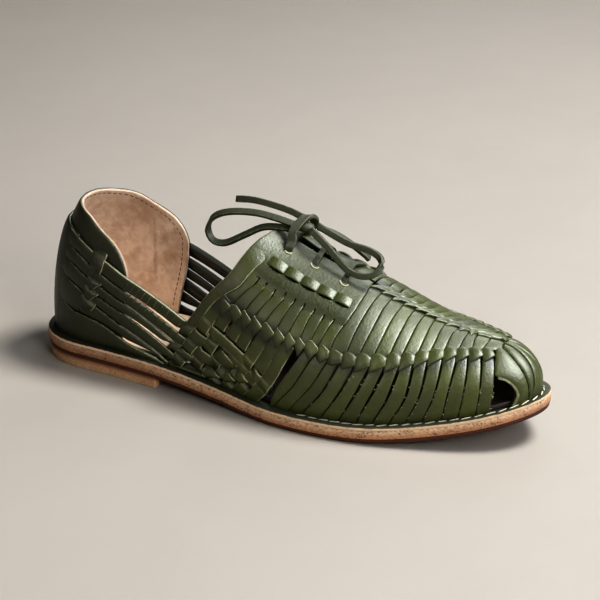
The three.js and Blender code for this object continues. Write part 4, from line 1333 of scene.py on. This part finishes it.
BRAID_LOW_LEFT = ((0.45, 0.27), (0.56, 0.27), (0.58, 0.28), (0.60, 0.295), (0.634, 0.30), (0.652, 0.32),
                  (0.671, 0.345),
                  (0.69, 0.375), (0.709, 0.415), (0.731, 0.45), (0.753, 0.49), (0.776, 0.51), (0.802, 0.52),
                  (0.833, 0.535))
BRAID_LOW_RIGHT = ((0.465, 0.30), (0.55, 0.30), (0.58, 0.31), (0.61, 0.32), (0.63, 0.335), (0.65, 0.355),
                   (0.669, 0.38),
                   (0.688, 0.405), (0.708, 0.44), (0.728, 0.49), (0.751, 0.53), (0.774, 0.57), (0.80, 0.585),
                   (0.831, 0.60), (0.862, 0.61))


# Along a strip or slit, from its foot up: share of the slit's width, and lift of the lower, rear,
# upper and toe strips.
GAP_SHAPE = ((0, 0.25), (0.18, 0.45), (0.55, 1), (1, 1))
LOWER_LIFT = ((0, 0.35), (0.12, 0.8), (0.5, 1.05), (0.85, 0.75), (1, 0.3))
REAR_LIFT = ((0, 0.2), (0.25, 0.95), (0.55, 0.85), (0.82, 0.55))
UPPER_LIFT = ((0, 0.4), (0.12, 0.85), (0.5, 0.95), (0.78, 0.75), (1, -0.6))
TOE_LIFT = ((0, 0.1), (0.15, 0.8), (0.6, 1.05), (0.9, 0.8), (1, 0.4))
STRIP_ROWS = 30
REAR_ROWS = 26
TOE_ROWS = 48


def gap_profile(rows):
    """Share of a slit's width from the foot to the braid."""
    return by_turn(GAP_SHAPE, np.linspace(0, 1, rows))


def knuckle(hide, number, flip):
    """One domed turn of the braid, pointed towards the heel and rounded towards the toe."""
    low_turn, high_turn = BRAID_EDGES[number], BRAID_EDGES[number + 1]
    peak_turn, peak = BRAID_PEAKS[number]
    ahead = smoothstep(low_turn, 0.55, 0.62)
    s, v = eased(13)[None, :], eased(13)[:, None]
    middle = np.clip((peak_turn - low_turn) / (high_turn - low_turn), 0.34, 0.56)
    u = np.where(s < 0.5, 2 * s * middle, middle + (2 * s - 1) * (1 - middle))
    bent = np.where(u < middle, u / middle, (1 - u) / (1 - middle))
    arch = 1 - (1 - bent) ** (1.1 + 1.2 * ahead)
    valley_left, valley_right = by_turn(BRAID_VALLEYS, low_turn), by_turn(BRAID_VALLEYS, high_turn)
    valley = valley_left + (valley_right - valley_left) * u
    top = valley + (peak - valley) * arch
    low_left = by_turn(BRAID_LOW_LEFT, low_turn)
    low_right = by_turn(BRAID_LOW_RIGHT, high_turn) + 0.012 * ahead
    leaf = valley - 0.012 - 0.06 * bent
    low = leaf + (low_left + (low_right - low_left) * u ** 1.1 - leaf) * ahead
    rise = low + (top - low) * v
    span = high_turn - low_turn
    turn = low_turn + ((1.2 - 0.06 * ahead) * u - 0.09 + 0.02 * ahead) * span
    dome = (1 - np.abs(2 * u - 1) ** 2.4) ** 0.8 * np.sin(np.pi * (0.14 + 0.7 * v))
    lift = 1.02 + (0.4 + 0.1 * ahead) * (2 * u - 1) + (0.55 + 0.75 * ahead) * dome
    raw = 0.75 * smoothstep(v, 0.6, 0.9) * (1 + (0.65 * u - 0.65) * ahead)
    # Painted shade on the lower part of each turn, reaching higher at its rear corner on the front turns.
    deep = 0.55 * (1 - smoothstep(0.45 * u * ahead + v, 0.1, 0.62))
    turn = (2 - turn if flip else turn) + 0 * rise
    hide.plate(turn, rise, lift, 1.5, drop=(0.45, 0.14), edge_cut=raw, deep=deep)


class SHOE_OT_forefoot(bpy.types.Operator):
    """Lower strips of the forefoot and the braid above them"""
    bl_idname = "shoe.forefoot"
    bl_label = "Forefoot"

    def execute(self, context):
        leather = green_hide()
        rows = STRIP_ROWS
        strips = Hide()
        v = np.linspace(0, 1, rows)
        # Painted shade at the top of each lower strip, under the braid, and at its foot by the rim.
        shade = 0.55 * smoothstep(v, 0.66, 0.9) + 0.4 * (1 - smoothstep(v, 0.02, 0.12))
        lift = by_turn(LOWER_LIFT, v)
        for flip in (False, True):
            for number in range(len(LOWER_SLITS) - 1):
                lines = []
                for slit, sign in ((number, 1), (number + 1, -1)):
                    low_turn = LOWER_SLITS[slit][-1][0]
                    high = by_turn(BRAID_LOW_LEFT, low_turn) + 0.075
                    line = through(reach(LOWER_SLITS[slit], STRIP_FOOT, high), rows)
                    gap = SLIT_WIDTHS[slit] * gap_profile(rows) * (INNER_GAP if flip else OUTER_GAP)
                    line[:, 0] += sign * gap / 2 / turn_speed(line)
                    lines.append(on_side(line, flip))
                strips.strip(lines[0], lines[1], lift + TONES.uniform(-0.1, 0.1), 1.4, 0.16, -0.1,
                             raw=(0.55, 0.1), deep=shade)
        draw = np.random.default_rng(23)
        for slit in range(3, len(LOWER_SLITS)):
            line = reach(LOWER_SLITS[slit], 0.0, LOWER_SLITS[slit][-1][1])
            for rise in draw.uniform(0.04, 0.3, FRAYS_A_SLIT):
                turn = place_at(line, rise) + draw.uniform(-0.001, 0.0025)
                ahead = lifted(turn + 0.001, rise + draw.uniform(-0.01, 0.01), 1.0) - lifted(turn, rise, 1.0)
                strips.bead(lifted(turn, rise, draw.uniform(0.4, 1.1)), ahead, facing(turn, rise),
                            draw.uniform(0.6, 1.6), FRAY_WIDTH, FRAY_WIDTH, 1.0, 1.0)
        strips.make("lower_strips", leather, "green_leather", "upper")
        braid = Hide()
        for flip in (False, True):
            for number in range(len(BRAID_PEAKS)):
                knuckle(braid, number, flip)
        braid.make("side_braid", leather, "green_leather", "upper")
        return {"FINISHED"}


# Eyelet panel, rear strips, thong

# Edge of the panel along the collar, and the lines between the upper strips and between the rear strips.
COLLAR_EDGE = ((0.4555, 0.47), (0.4625, 0.53), (0.468, 0.60), (0.474, 0.68), (0.479, 0.75), (0.485, 0.82),
               (0.489, 0.90), (0.492, 1.0))
UPPER_LINES = (
    ((0.602, 0.40), (0.606, 0.47), (0.615, 0.57), (0.622, 0.68), (0.627, 0.80), (0.629, 0.90)),
    ((0.6225, 0.41), (0.628, 0.53), (0.634, 0.65), (0.640, 0.78), (0.6455, 0.90)),
    ((0.640, 0.45), (0.646, 0.56), (0.651, 0.67), (0.655, 0.78), (0.66, 0.885)),
    ((0.657, 0.46), (0.663, 0.58), (0.668, 0.70), (0.673, 0.80), (0.677, 0.89)),
    ((0.676, 0.49), (0.681, 0.60), (0.686, 0.71), (0.690, 0.81), (0.694, 0.90)),
    ((0.6925, 0.52), (0.698, 0.63), (0.703, 0.74), (0.708, 0.84), (0.711, 0.90)),
    ((0.7125, 0.55), (0.718, 0.66), (0.723, 0.77), (0.728, 0.875)),
    ((0.732, 0.60), (0.738, 0.70), (0.744, 0.81), (0.7485, 0.87)),
    ((0.756, 0.65), (0.762, 0.74), (0.770, 0.83), (0.775, 0.865)),
    ((0.784, 0.69), (0.791, 0.76), (0.80, 0.835)),
    ((0.812, 0.71), (0.82, 0.80), (0.832, 0.89)),
    ((0.842, 0.73), (0.86, 0.81), (0.885, 0.92)),
)
REAR_LINES = (
    ((0.457, 0.385), (0.475, 0.465), (0.485, 0.565)),
    ((0.4725, 0.39), (0.491, 0.51), (0.497, 0.57)),
    ((0.49, 0.40), (0.5025, 0.505), (0.508, 0.572)),
    ((0.504, 0.405), (0.5155, 0.50), (0.520, 0.565)),
    ((0.518, 0.405), (0.530, 0.515), (0.534, 0.58)),
    ((0.534, 0.41), (0.5425, 0.515), (0.5475, 0.575)),
    ((0.549, 0.41), (0.556, 0.515), (0.56, 0.575)),
    ((0.564, 0.41), (0.5685, 0.50), (0.5735, 0.57)),
    ((0.577, 0.41), (0.5825, 0.50), (0.586, 0.565)),
    ((0.588, 0.41), (0.595, 0.505), (0.5995, 0.565)),
    ((0.602, 0.40), (0.606, 0.47), (0.614, 0.565)),
)
TONGUE_LEFT = 0.508
TONGUE_RIGHT = 0.545
# The throat, in millimetres: where it begins and ends, its middle, and its half width at both.
THROAT_BACK = 130.0
THROAT_FRONT = 190.0
THROAT_MIDDLE = 1.5
THROAT_HALF = (3.5, 1.2)
THONG_LOOPS = ((0.5005, 0.5265), (0.5235, 0.549), (0.546, 0.5715), (0.5685, 0.594), (0.591, 0.6165))
THONG_RISE = 0.693
THONG_WIDTH = 5.6
THONG_SLOT_BELOW = 0.034
THONG_BACKING = (0.4975, 0.6165)
PANEL_LIFT = 0.9
# Rise at which the panel's tongues start, and the gap between two rear strips.
TONGUE_ROOT = 0.565
REAR_GAP = 0.08
# Half sizes of a punched eyelet, and how far the cutters stand off and go in.
EYELET_HALF = (1.75, 2.0)
EYELET_STEPS = 24
BORE_REACH = 4
CUT_LIFT = 3.0
CUT_DEPTH = 6.0


def throat_rise(turn):
    """Rise at which the panel stops beside the throat."""
    turn = np.asarray(turn, float)
    inner = turn > 1
    low, high = np.full(turn.shape, 0.6), np.ones(turn.shape)
    for _ in range(24):
        half = (low + high) / 2
        spot = shell(turn, half)
        ahead = (spot[..., 0] - THROAT_BACK) / (THROAT_FRONT - THROAT_BACK)
        open_half = THROAT_HALF[0] + (THROAT_HALF[1] - THROAT_HALF[0]) * np.clip(ahead, 0, 1)
        open_half = np.where(ahead > 1, -0.2, open_half)
        off = spot[..., 1] - THROAT_MIDDLE
        past = np.where(inner, off < open_half, off > -open_half)
        high, low = np.where(past, half, high), np.where(past, low, half)
    return low


def panel_grid(flip):
    """Places of an eyelet panel, column by column from the collar to the first upper strip."""
    marks = [place_at(line, TONGUE_ROOT) for line in REAR_LINES]
    left_at, right_at = place_at(COLLAR_EDGE, TONGUE_ROOT), marks[-1]
    columns, lows = [], []

    def column(turn_at, low):
        columns.append((turn_at - left_at) / (right_at - left_at))
        lows.append(low)

    for share in (0.0, 0.03, 0.1, 0.3, 0.6):
        column(left_at + (marks[1] - left_at) * share, 0.50)
    for number in range(1, len(marks) - 1):
        start, stop = marks[number], marks[number + 1]
        for share in np.linspace(0.03, 0.97, 8):
            column(start + (stop - start) * share, TONGUE_LEFT + (TONGUE_RIGHT - TONGUE_LEFT) * share)
    column(right_at, TONGUE_RIGHT)
    q = np.array(columns)[None]
    low = np.array(lows)[None]
    v = eased(44)[:, None]
    guess = place_at(COLLAR_EDGE, 1.0) * (1 - q) + 0.632 * q
    top = throat_rise(2 - guess if flip else guess)
    rise = low + (top - low) * v
    upper = reach(UPPER_LINES[0], 0.38, 1.01)
    left, right = place_at(COLLAR_EDGE, rise), place_at(upper, rise)
    turn = left + (right - left) * q
    below = np.clip(TONGUE_ROOT - rise, 0, 1)
    at_mark = left_at + (right_at - left_at) * q
    turn = np.where(below > 0, at_mark - 0.1 * below, turn)
    return turn, rise


def eyelet_bore(hide, turn, rise):
    """A short post through the panel where an eyelet is punched."""
    centre, normal = shell(turn, rise), facing(turn, rise)
    side = np.cross(normal, (0.0, 0.0, 1.0))
    side /= np.linalg.norm(side)
    up = np.cross(normal, side)
    count = EYELET_STEPS
    angle = np.linspace(0, 2 * np.pi, count, endpoint=False)
    ring = np.cos(angle)[:, None] * side * EYELET_HALF[0] + np.sin(angle)[:, None] * up * EYELET_HALF[1]
    points = np.vstack([centre + normal * BORE_REACH + ring, centre - normal * BORE_REACH + ring])
    faces = [tuple(range(count))[::-1], tuple(range(count, 2 * count))]
    faces += [(k, (k + 1) % count, count + (k + 1) % count, count + k) for k in range(count)]
    hide.add(points, faces, 0.0, 0.1)


def panel_cutter(flip, leather):
    """What is cut from a panel: eyelets, slits between its tongues and slots under the thong."""
    cutter = Hide()
    for turn, rise in EYELET_PLACES:
        eyelet_bore(cutter, 2 - turn if flip else turn, rise)
    for line in REAR_LINES[1:-1]:
        rises = np.linspace(0.497, line[-1][1], 8)
        spots = np.column_stack([place_at(line, rises), rises])
        left, right = sides(on_side(spots, flip), np.linspace(1.5, 0.8, 8))
        cutter.strip(left, right, CUT_LIFT, CUT_DEPTH, 0.0, drop=0.0, raw=(0.0, 0.0))
    for low, high in THONG_LOOPS:
        turns = np.linspace(low + 0.004, high - 0.004, 16)
        spots = np.column_stack([turns, np.full(16, THONG_RISE - THONG_SLOT_BELOW)])
        left, right = sides(on_side(spots, flip), 0.3 + 1.2 * np.sin(np.linspace(0, np.pi, 16)))
        cutter.strip(left, right, CUT_LIFT, CUT_DEPTH, 0.0, drop=0.0, raw=(0.0, 0.0))
    return cutter.make("panel_cutter", leather, None)


def cut_out(piece, knife):
    """Takes the knife's shape out of a piece for good, and clears the knife away."""
    cut = piece.modifiers.new("slits", "BOOLEAN")
    cut.operation = "DIFFERENCE"
    cut.solver = "EXACT"
    cut.object = knife
    ready = piece.evaluated_get(bpy.context.evaluated_depsgraph_get())
    mesh = bpy.data.meshes.new_from_object(ready)
    piece.modifiers.clear()
    old = piece.data
    piece.data = mesh
    mesh.name = old.name
    bpy.data.meshes.remove(old)
    bpy.data.objects.remove(knife)


class SHOE_OT_panels(bpy.types.Operator):
    """Eyelet panels with their slits, the rear strips and the thong"""
    bl_idname = "shoe.panels"
    bl_label = "Eyelet panels"

    def execute(self, context):
        leather = green_hide()
        rear = Hide()
        v = np.linspace(0, 1, REAR_ROWS)
        # Painted shade over the rear strips, darker towards their foot by the braid.
        shade = 0.27 + 0.38 * (1 - smoothstep(v, 0.12, 0.42))
        for flip in (False, True):
            for number in range(len(REAR_LINES) - 1):
                first = number == 0
                tops = (0.62, 0.60) if first else (TONGUE_LEFT + 0.03, TONGUE_RIGHT + 0.03)
                pair = []
                for line, top, sign in zip(REAR_LINES[number:number + 2], tops, (1, -1)):
                    spots = through(reach(line, 0.335, top), REAR_ROWS)
                    spots[:, 0] += sign * REAR_GAP / turn_speed(spots)
                    pair.append(on_side(spots, flip))
                lift = by_turn(REAR_LIFT + ((1, 0.1 if first else -0.4),), v)
                rear.strip(*pair, lift, 1.2, 0.1, -0.16, drop=0.7, raw=(0.8, 0.1), deep=shade)
        rear.make("rear_strips", leather, "green_leather", "upper")
        for flip, label in ((False, "outer"), (True, "inner")):
            turn, rise = panel_grid(flip)
            skive = 1.1 * smoothstep(-rise, -0.60, -0.515)
            panel = Hide()
            # Painted shade over the panel, darker towards its tongues.
            shade = 0.32 + 0.12 * (1 - smoothstep(rise, 0.56, 0.7))
            panel.plate(2 - turn if flip else turn, rise, PANEL_LIFT - skive, 1.25, tone=-0.6,
                        drop=(0.16, 0.05), edge_cut=0.3, deep=shade)
            piece = panel.make(f"eyelet_panel_{label}", leather, "green_leather", "upper")
            cut_out(piece, panel_cutter(flip, leather))
        loops = Hide()
        for flip in (False, True):
            spots = np.column_stack([np.linspace(*THONG_BACKING, 40), np.full(40, THONG_RISE - 0.02)])
            left, right = sides(on_side(spots, flip), 9.0)
            loops.strip(left, right, -0.6, 1.0, 0.0, tone=-1.0, raw=(0.0, 0.0))
            bow = np.sin(np.pi * np.linspace(0, 1, 24)) ** 0.5
            for low, high in THONG_LOOPS:
                spots = np.column_stack([np.linspace(low, high, 24), np.full(24, THONG_RISE)])
                left, right = sides(on_side(spots, flip), THONG_WIDTH)
                loops.strip(left, right, PANEL_LIFT - 0.8 + 2.4 * bow, 1.3, 0.04, tone=-0.6, raw=(0.4, 0.3))
            for eye_turn, eye_rise in EYELET_PLACES:
                place = 2 - eye_turn if flip else eye_turn
                angle = np.linspace(np.pi * 1.02, np.pi * 1.98, 16)
                turns = place + np.cos(angle) * 2.3 / turn_speed(np.array([[place, eye_rise]]))
                rises = eye_rise + np.sin(angle) * 0.024
                lace_tube(loops, lifted(turns, rises, PANEL_LIFT + 0.1), facing(turns, rises), 0.6, 0.8,
                          np.ones(len(LACE_RING)))
        loops.make("thong_loops", leather, "green_leather", "upper")
        return {"FINISHED"}


# Vamp: upper strips and the plait along the crest

# Each tile of the plait starts at a slanted lower edge: rise at its rear and front corner.
PLAIT_REAR = (0.902, 0.895, 0.877, 0.89, 0.90, 0.895, 0.875, 0.87, 0.862, 0.835, 0.89)
PLAIT_FRONT = (0.962, 0.958, 0.962, 0.958, 0.962, 0.958, 0.93, 0.965, 0.955, 0.95, 0.96)
# Backing under the front end of the plait; it is painted darker with shade.
CREST_END_TURNS = (0.86, 1.14)
CREST_END_RISES = (0.84, 0.996)
CREST_END_LIFT = -0.5
# Rise of a tile's corners on the inner side.
PLAIT_INNER_REAR = 1.17
PLAIT_INNER_FRONT = 1.23
UPPER_GAP = 0.13
TOE_BOUNDARY = ((0.905, 0.75), (0.93, 0.84), (0.955, 0.885))


class SHOE_OT_vamp(bpy.types.Operator):
    """Upper strips of the vamp and the plait over the crest"""
    bl_idname = "shoe.vamp"
    bl_label = "Vamp"

    def execute(self, context):
        leather = green_hide()
        strips = Hide()
        lines = UPPER_LINES + (TOE_BOUNDARY,)
        v = np.linspace(0, 1, STRIP_ROWS)
        lift = by_turn(UPPER_LIFT, v)
        # Painted shade at the foot of each upper strip, by the braid, and where it goes under the plait.
        shade = 0.45 * (1 - smoothstep(v, 0.04, 0.2)) + 0.9 * smoothstep(v, 0.8, 0.92)
        for flip in (False, True):
            for number in range(len(lines) - 1):
                pair = []
                for line, sign in ((lines[number], 1), (lines[number + 1], -1)):
                    low = by_turn(BRAID_VALLEYS, line[0][0]) - 0.025 if line[0][0] < 0.87 else 0.735
                    high = 0.985 if not flip or number < 2 else 0.90
                    spots = through(reach(line, low, high), STRIP_ROWS)
                    spots[:, 0] += sign * UPPER_GAP / turn_speed(spots)
                    pair.append(on_side(spots, flip))
                strips.strip(*pair, lift, 1.3, 0.1, -0.16, drop=0.7, raw=(0.42, 0.0), deep=shade)
        strips.make("upper_strips", leather, "green_leather", "upper")
        plait = Hide()
        u, v = eased(13)[None, :], eased(17)[:, None]
        for number in range(len(UPPER_LINES) - 1):
            ends = []
            for line in (UPPER_LINES[number], UPPER_LINES[number + 1]):
                rear = reach(line, line[0][1] - 0.05, 0.905)[-1]
                drift = 0.018 + 0.16 * max(line[-1][0] - 0.80, 0)
                ends.append((rear[0], drift))
            rear_rise, front_rise = PLAIT_REAR[number], PLAIT_FRONT[number]
            low = rear_rise + (front_rise - rear_rise) * u
            over = min(1.0, 0.3 + 0.25 * number)
            high = 1 + over * (PLAIT_INNER_REAR - 1 + (PLAIT_INNER_FRONT - PLAIT_INNER_REAR) * u)
            rise = low + (high - low) * v
            start = ends[0][0] + (ends[1][0] - ends[0][0]) * u
            drift = ends[0][1] + (ends[1][1] - ends[0][1]) * u
            turn = start + drift * smoothstep(rise, 0.90, 1.06)
            dome = 1 - np.abs(2 * u - 1) ** 2.2
            lift = (0.45 + 0.3 * over + (0.2 + 0.45 * over) * dome - 0.35 * (2 * u - 1)
                    + 0.35 * smoothstep(-v, -0.3, 0.0))
            plait.plate(turn + 0 * rise, rise, lift, 1.3, drop=(0.4, 0.13), edge_cut=0.5)
        turn, rise = np.meshgrid(np.linspace(*CREST_END_TURNS, 25), np.linspace(*CREST_END_RISES, 9))
        # The backing under the plait's front end, with painted shade.
        plait.plate(turn, rise, CREST_END_LIFT, 0.8, tone=-1.0, edge_cut=0.0, deep=0.35)
        plait.make("crest_plait", leather, "green_leather", "upper")
        return {"FINISHED"}


# Toe

# Edges of the smooth band beside the opening, of the strip before the tip and of the tip, top to foot.
TOE_BAND_LEFT = ((0.880, 0.77), (0.8725, 0.70), (0.8645, 0.62), (0.8585, 0.54), (0.8535, 0.45), (0.8515, 0.405),
                 (0.858, 0.378), (0.876, 0.345), (0.893, 0.265), (0.902, 0.18), (0.903, 0.12), (0.895, 0.04),
                 (0.890, -0.014))
TOE_BAND_RIGHT = ((0.909, 0.80), (0.911, 0.74), (0.915, 0.65), (0.920, 0.56), (0.924, 0.50), (0.928, 0.44),
                  (0.932, 0.36),
                  (0.935, 0.27), (0.937, 0.19), (0.937, 0.12), (0.936, 0.04), (0.935, -0.014))
TOE_LINE_LEFT = ((0.918, 0.80), (0.914, 0.74), (0.918, 0.65), (0.923, 0.56), (0.931, 0.44), (0.938, 0.27),
                 (0.940, 0.12),
                 (0.939, 0.04), (0.938, -0.014))
TOE_LINE_RIGHT = ((0.966, 0.90), (0.971, 0.80), (0.973, 0.70), (0.973, 0.58), (0.971, 0.43), (0.965, 0.28),
                  (0.956, 0.14),
                  (0.949, 0.06), (0.945, -0.014))
TOE_TIP_EDGE = ((0.970, 0.93), (0.976, 0.80), (0.978, 0.66), (0.977, 0.54), (0.975, 0.43), (0.969, 0.28),
                (0.960, 0.14),
                (0.953, 0.06), (0.948, -0.014))
# Points along the lower rim of the toe opening, and the loose fibres on it.
OPENING_STEPS = 60
OPENING_FRAYS = 34


class SHOE_OT_toe(bpy.types.Operator):
    """Smooth toe band beside the opening and the strips over the tip"""
    bl_idname = "shoe.toe"
    bl_label = "Toe"

    def execute(self, context):
        leather = green_hide()
        hide = Hide()
        lift = by_turn(TOE_LIFT, np.linspace(0, 1, TOE_ROWS))
        for flip in (False, True):
            for *pair, crown in ((TOE_BAND_LEFT, TOE_BAND_RIGHT, 0.6), (TOE_LINE_LEFT, TOE_LINE_RIGHT, 0.35)):
                left, right = (on_side(through(line, TOE_ROWS), flip) for line in pair)
                hide.strip(left, right, lift, 1.5, crown, tone=0.2, raw=(0.5, 0.35))
        left = through(TOE_TIP_EDGE, TOE_ROWS)
        hide.strip(left, inner_side(left), lift + 0.1, 1.5, 0.3, tone=0.1, raw=(0.5, 0.5))
        draw = np.random.default_rng(31)
        rim = through(TOE_BAND_LEFT[6:], OPENING_STEPS)
        for side in (rim, inner_side(rim)):
            lace_tube(hide, lifted(side[:, 0], side[:, 1], -0.35), facing(side[:, 0], side[:, 1]), 2.6, 2.0,
                      np.where(LACE_RING[:, 0] > 0.9, 0.6, 0.0))
        for turn, rise in rim[draw.integers(0, OPENING_STEPS, OPENING_FRAYS)]:
            ahead = lifted(turn - 0.004, rise + draw.uniform(-0.02, 0.02), 0.6) - lifted(turn, rise, 0.6)
            hide.bead(lifted(turn - 0.001, rise, draw.uniform(-0.2, 0.7)), ahead, facing(turn, rise),
                      draw.uniform(0.7, 1.7), 0.3, 0.3, 1.0, 1.0)
        hide.make("toe_strips", leather, "green_leather", "upper")
        return {"FINISHED"}


# Thread

STITCH_FROM = 0.56
STITCH_IN = 3.7
STITCH_LENGTH = 5.5
STITCH_SIZE = (0.8, 0.6)
# Seam of the lining: turn in from the counter's front, rise below its top, depth, spacing and stitch size.
SEAM_IN = 0.0095
SEAM_BELOW = 0.018
SEAM_LIFT = -2.4
SEAM_STEP = 3.1
SEAM_SIZE = (2.3, 0.55, 0.4)


class SHOE_OT_thread(bpy.types.Operator):
    """Cream stitches round the forefoot and the brown seam of the lining"""
    bl_idname = "shoe.thread"
    bl_label = "Thread"

    def execute(self, context):
        look = context.scene.shoe_finish
        step = context.scene.shoe_sizes.stitch_step / MM
        fine = np.linspace(STITCH_FROM, 2 - STITCH_FROM, 4000)
        x, y = edge(fine, STITCH_IN)
        line = np.column_stack([x, y, welt_top(x) + 0.25])
        run = run_along(line)
        hide = Hide()
        draw = np.random.default_rng(5)
        for at in np.arange(step / 2, run[-1], step):
            centre = np.array([np.interp(at, run, line[:, k]) for k in range(3)])
            ahead = np.array([np.interp(at + 1, run, line[:, k]) for k in range(3)]) - centre
            yaw = draw.uniform(0.05, 0.28)
            side = np.cross((0, 0, 1.0), ahead)
            heading = ahead * math.cos(yaw) + side * math.sin(yaw)
            hide.bead(centre + np.array([0, 0, draw.uniform(-0.05, 0.1)]), heading, np.array([0, 0, 1.0]),
                      STITCH_LENGTH * draw.uniform(0.8, 1.08), *STITCH_SIZE, draw.uniform(-1, 1))
        hide.make("rim_stitches", thread_material("cream_thread", look.thread), "tan_lining", "welt")
        seam = Hide()
        fine = np.linspace(-COUNTER_FRONT * INNER_STRETCH + SEAM_IN, COUNTER_FRONT - SEAM_IN, 1500)
        inside = np.where(fine < 0, -fine / INNER_STRETCH, fine)
        top = along(np.array(COUNTER_TOP), 1, np.minimum(inside + 0.006, COUNTER_FRONT)) - SEAM_BELOW
        places = np.column_stack([fine, top])
        for sign in (-1, 1):
            stretch = INNER_STRETCH if sign < 0 else 1.0
            down = np.linspace(places[0 if sign < 0 else -1, 1], 0.03, 300)
            turn = sign * (COUNTER_FRONT * stretch * counter_narrow(down, 0.25) - SEAM_IN)
            front = np.column_stack([turn, down])
            places = np.vstack([front[::-1], places]) if sign < 0 else np.vstack([places, front])
        line = lifted(places[:, 0], places[:, 1], SEAM_LIFT)
        normal = facing(places[:, 0], places[:, 1])
        run = run_along(line)
        for at in np.arange(1.5, run[-1] - 2, SEAM_STEP):
            i = int(np.searchsorted(run, at))
            j = min(i + 4, len(line) - 1)
            seam.bead(line[i], line[j] - line[max(i - 4, 0)], -normal[i], *SEAM_SIZE)
        seam.make("lining_seam", thread_material("brown_thread", look.seam), "tan_lining", "upper")
        return {"FINISHED"}


class SHOE_PT_panel(bpy.types.Panel):
    """Builds the shoe piece by piece"""
    bl_idname = "SHOE_PT_panel"
    bl_label = "Woven shoe"
    bl_space_type = "VIEW_3D"
    bl_region_type = "UI"
    bl_category = "Shoe"

    def draw(self, context):
        for group in (context.scene.shoe_sizes, context.scene.shoe_finish):
            for key in group.bl_rna.properties.keys():
                if key not in {"rna_type", "name"}:
                    self.layout.prop(group, key)
        for step in STEPS:
            self.layout.operator(step.bl_idname)


STEPS = (SHOE_OT_stage, SHOE_OT_laces, SHOE_OT_sole, SHOE_OT_heel, SHOE_OT_waist, SHOE_OT_forefoot,
         SHOE_OT_panels, SHOE_OT_vamp, SHOE_OT_toe, SHOE_OT_thread)
CLASSES = (ShoeFinish, ShoeSizes) + STEPS + (SHOE_PT_panel,)


def register():
    for item in CLASSES:
        bpy.utils.register_class(item)
    bpy.types.Scene.shoe_finish = bpy.props.PointerProperty(type=ShoeFinish)
    bpy.types.Scene.shoe_sizes = bpy.props.PointerProperty(type=ShoeSizes)


def unregister():
    del bpy.types.Scene.shoe_sizes
    del bpy.types.Scene.shoe_finish
    for item in reversed(CLASSES):
        bpy.utils.unregister_class(item)


def main():
    register()
    bpy.ops.shoe.stage()
    bpy.ops.shoe.laces()
    bpy.ops.shoe.sole()
    bpy.ops.shoe.heel()
    bpy.ops.shoe.waist()
    bpy.ops.shoe.forefoot()
    bpy.ops.shoe.panels()
    bpy.ops.shoe.vamp()
    bpy.ops.shoe.toe()
    bpy.ops.shoe.thread()


if __name__ == "__main__":
    main()
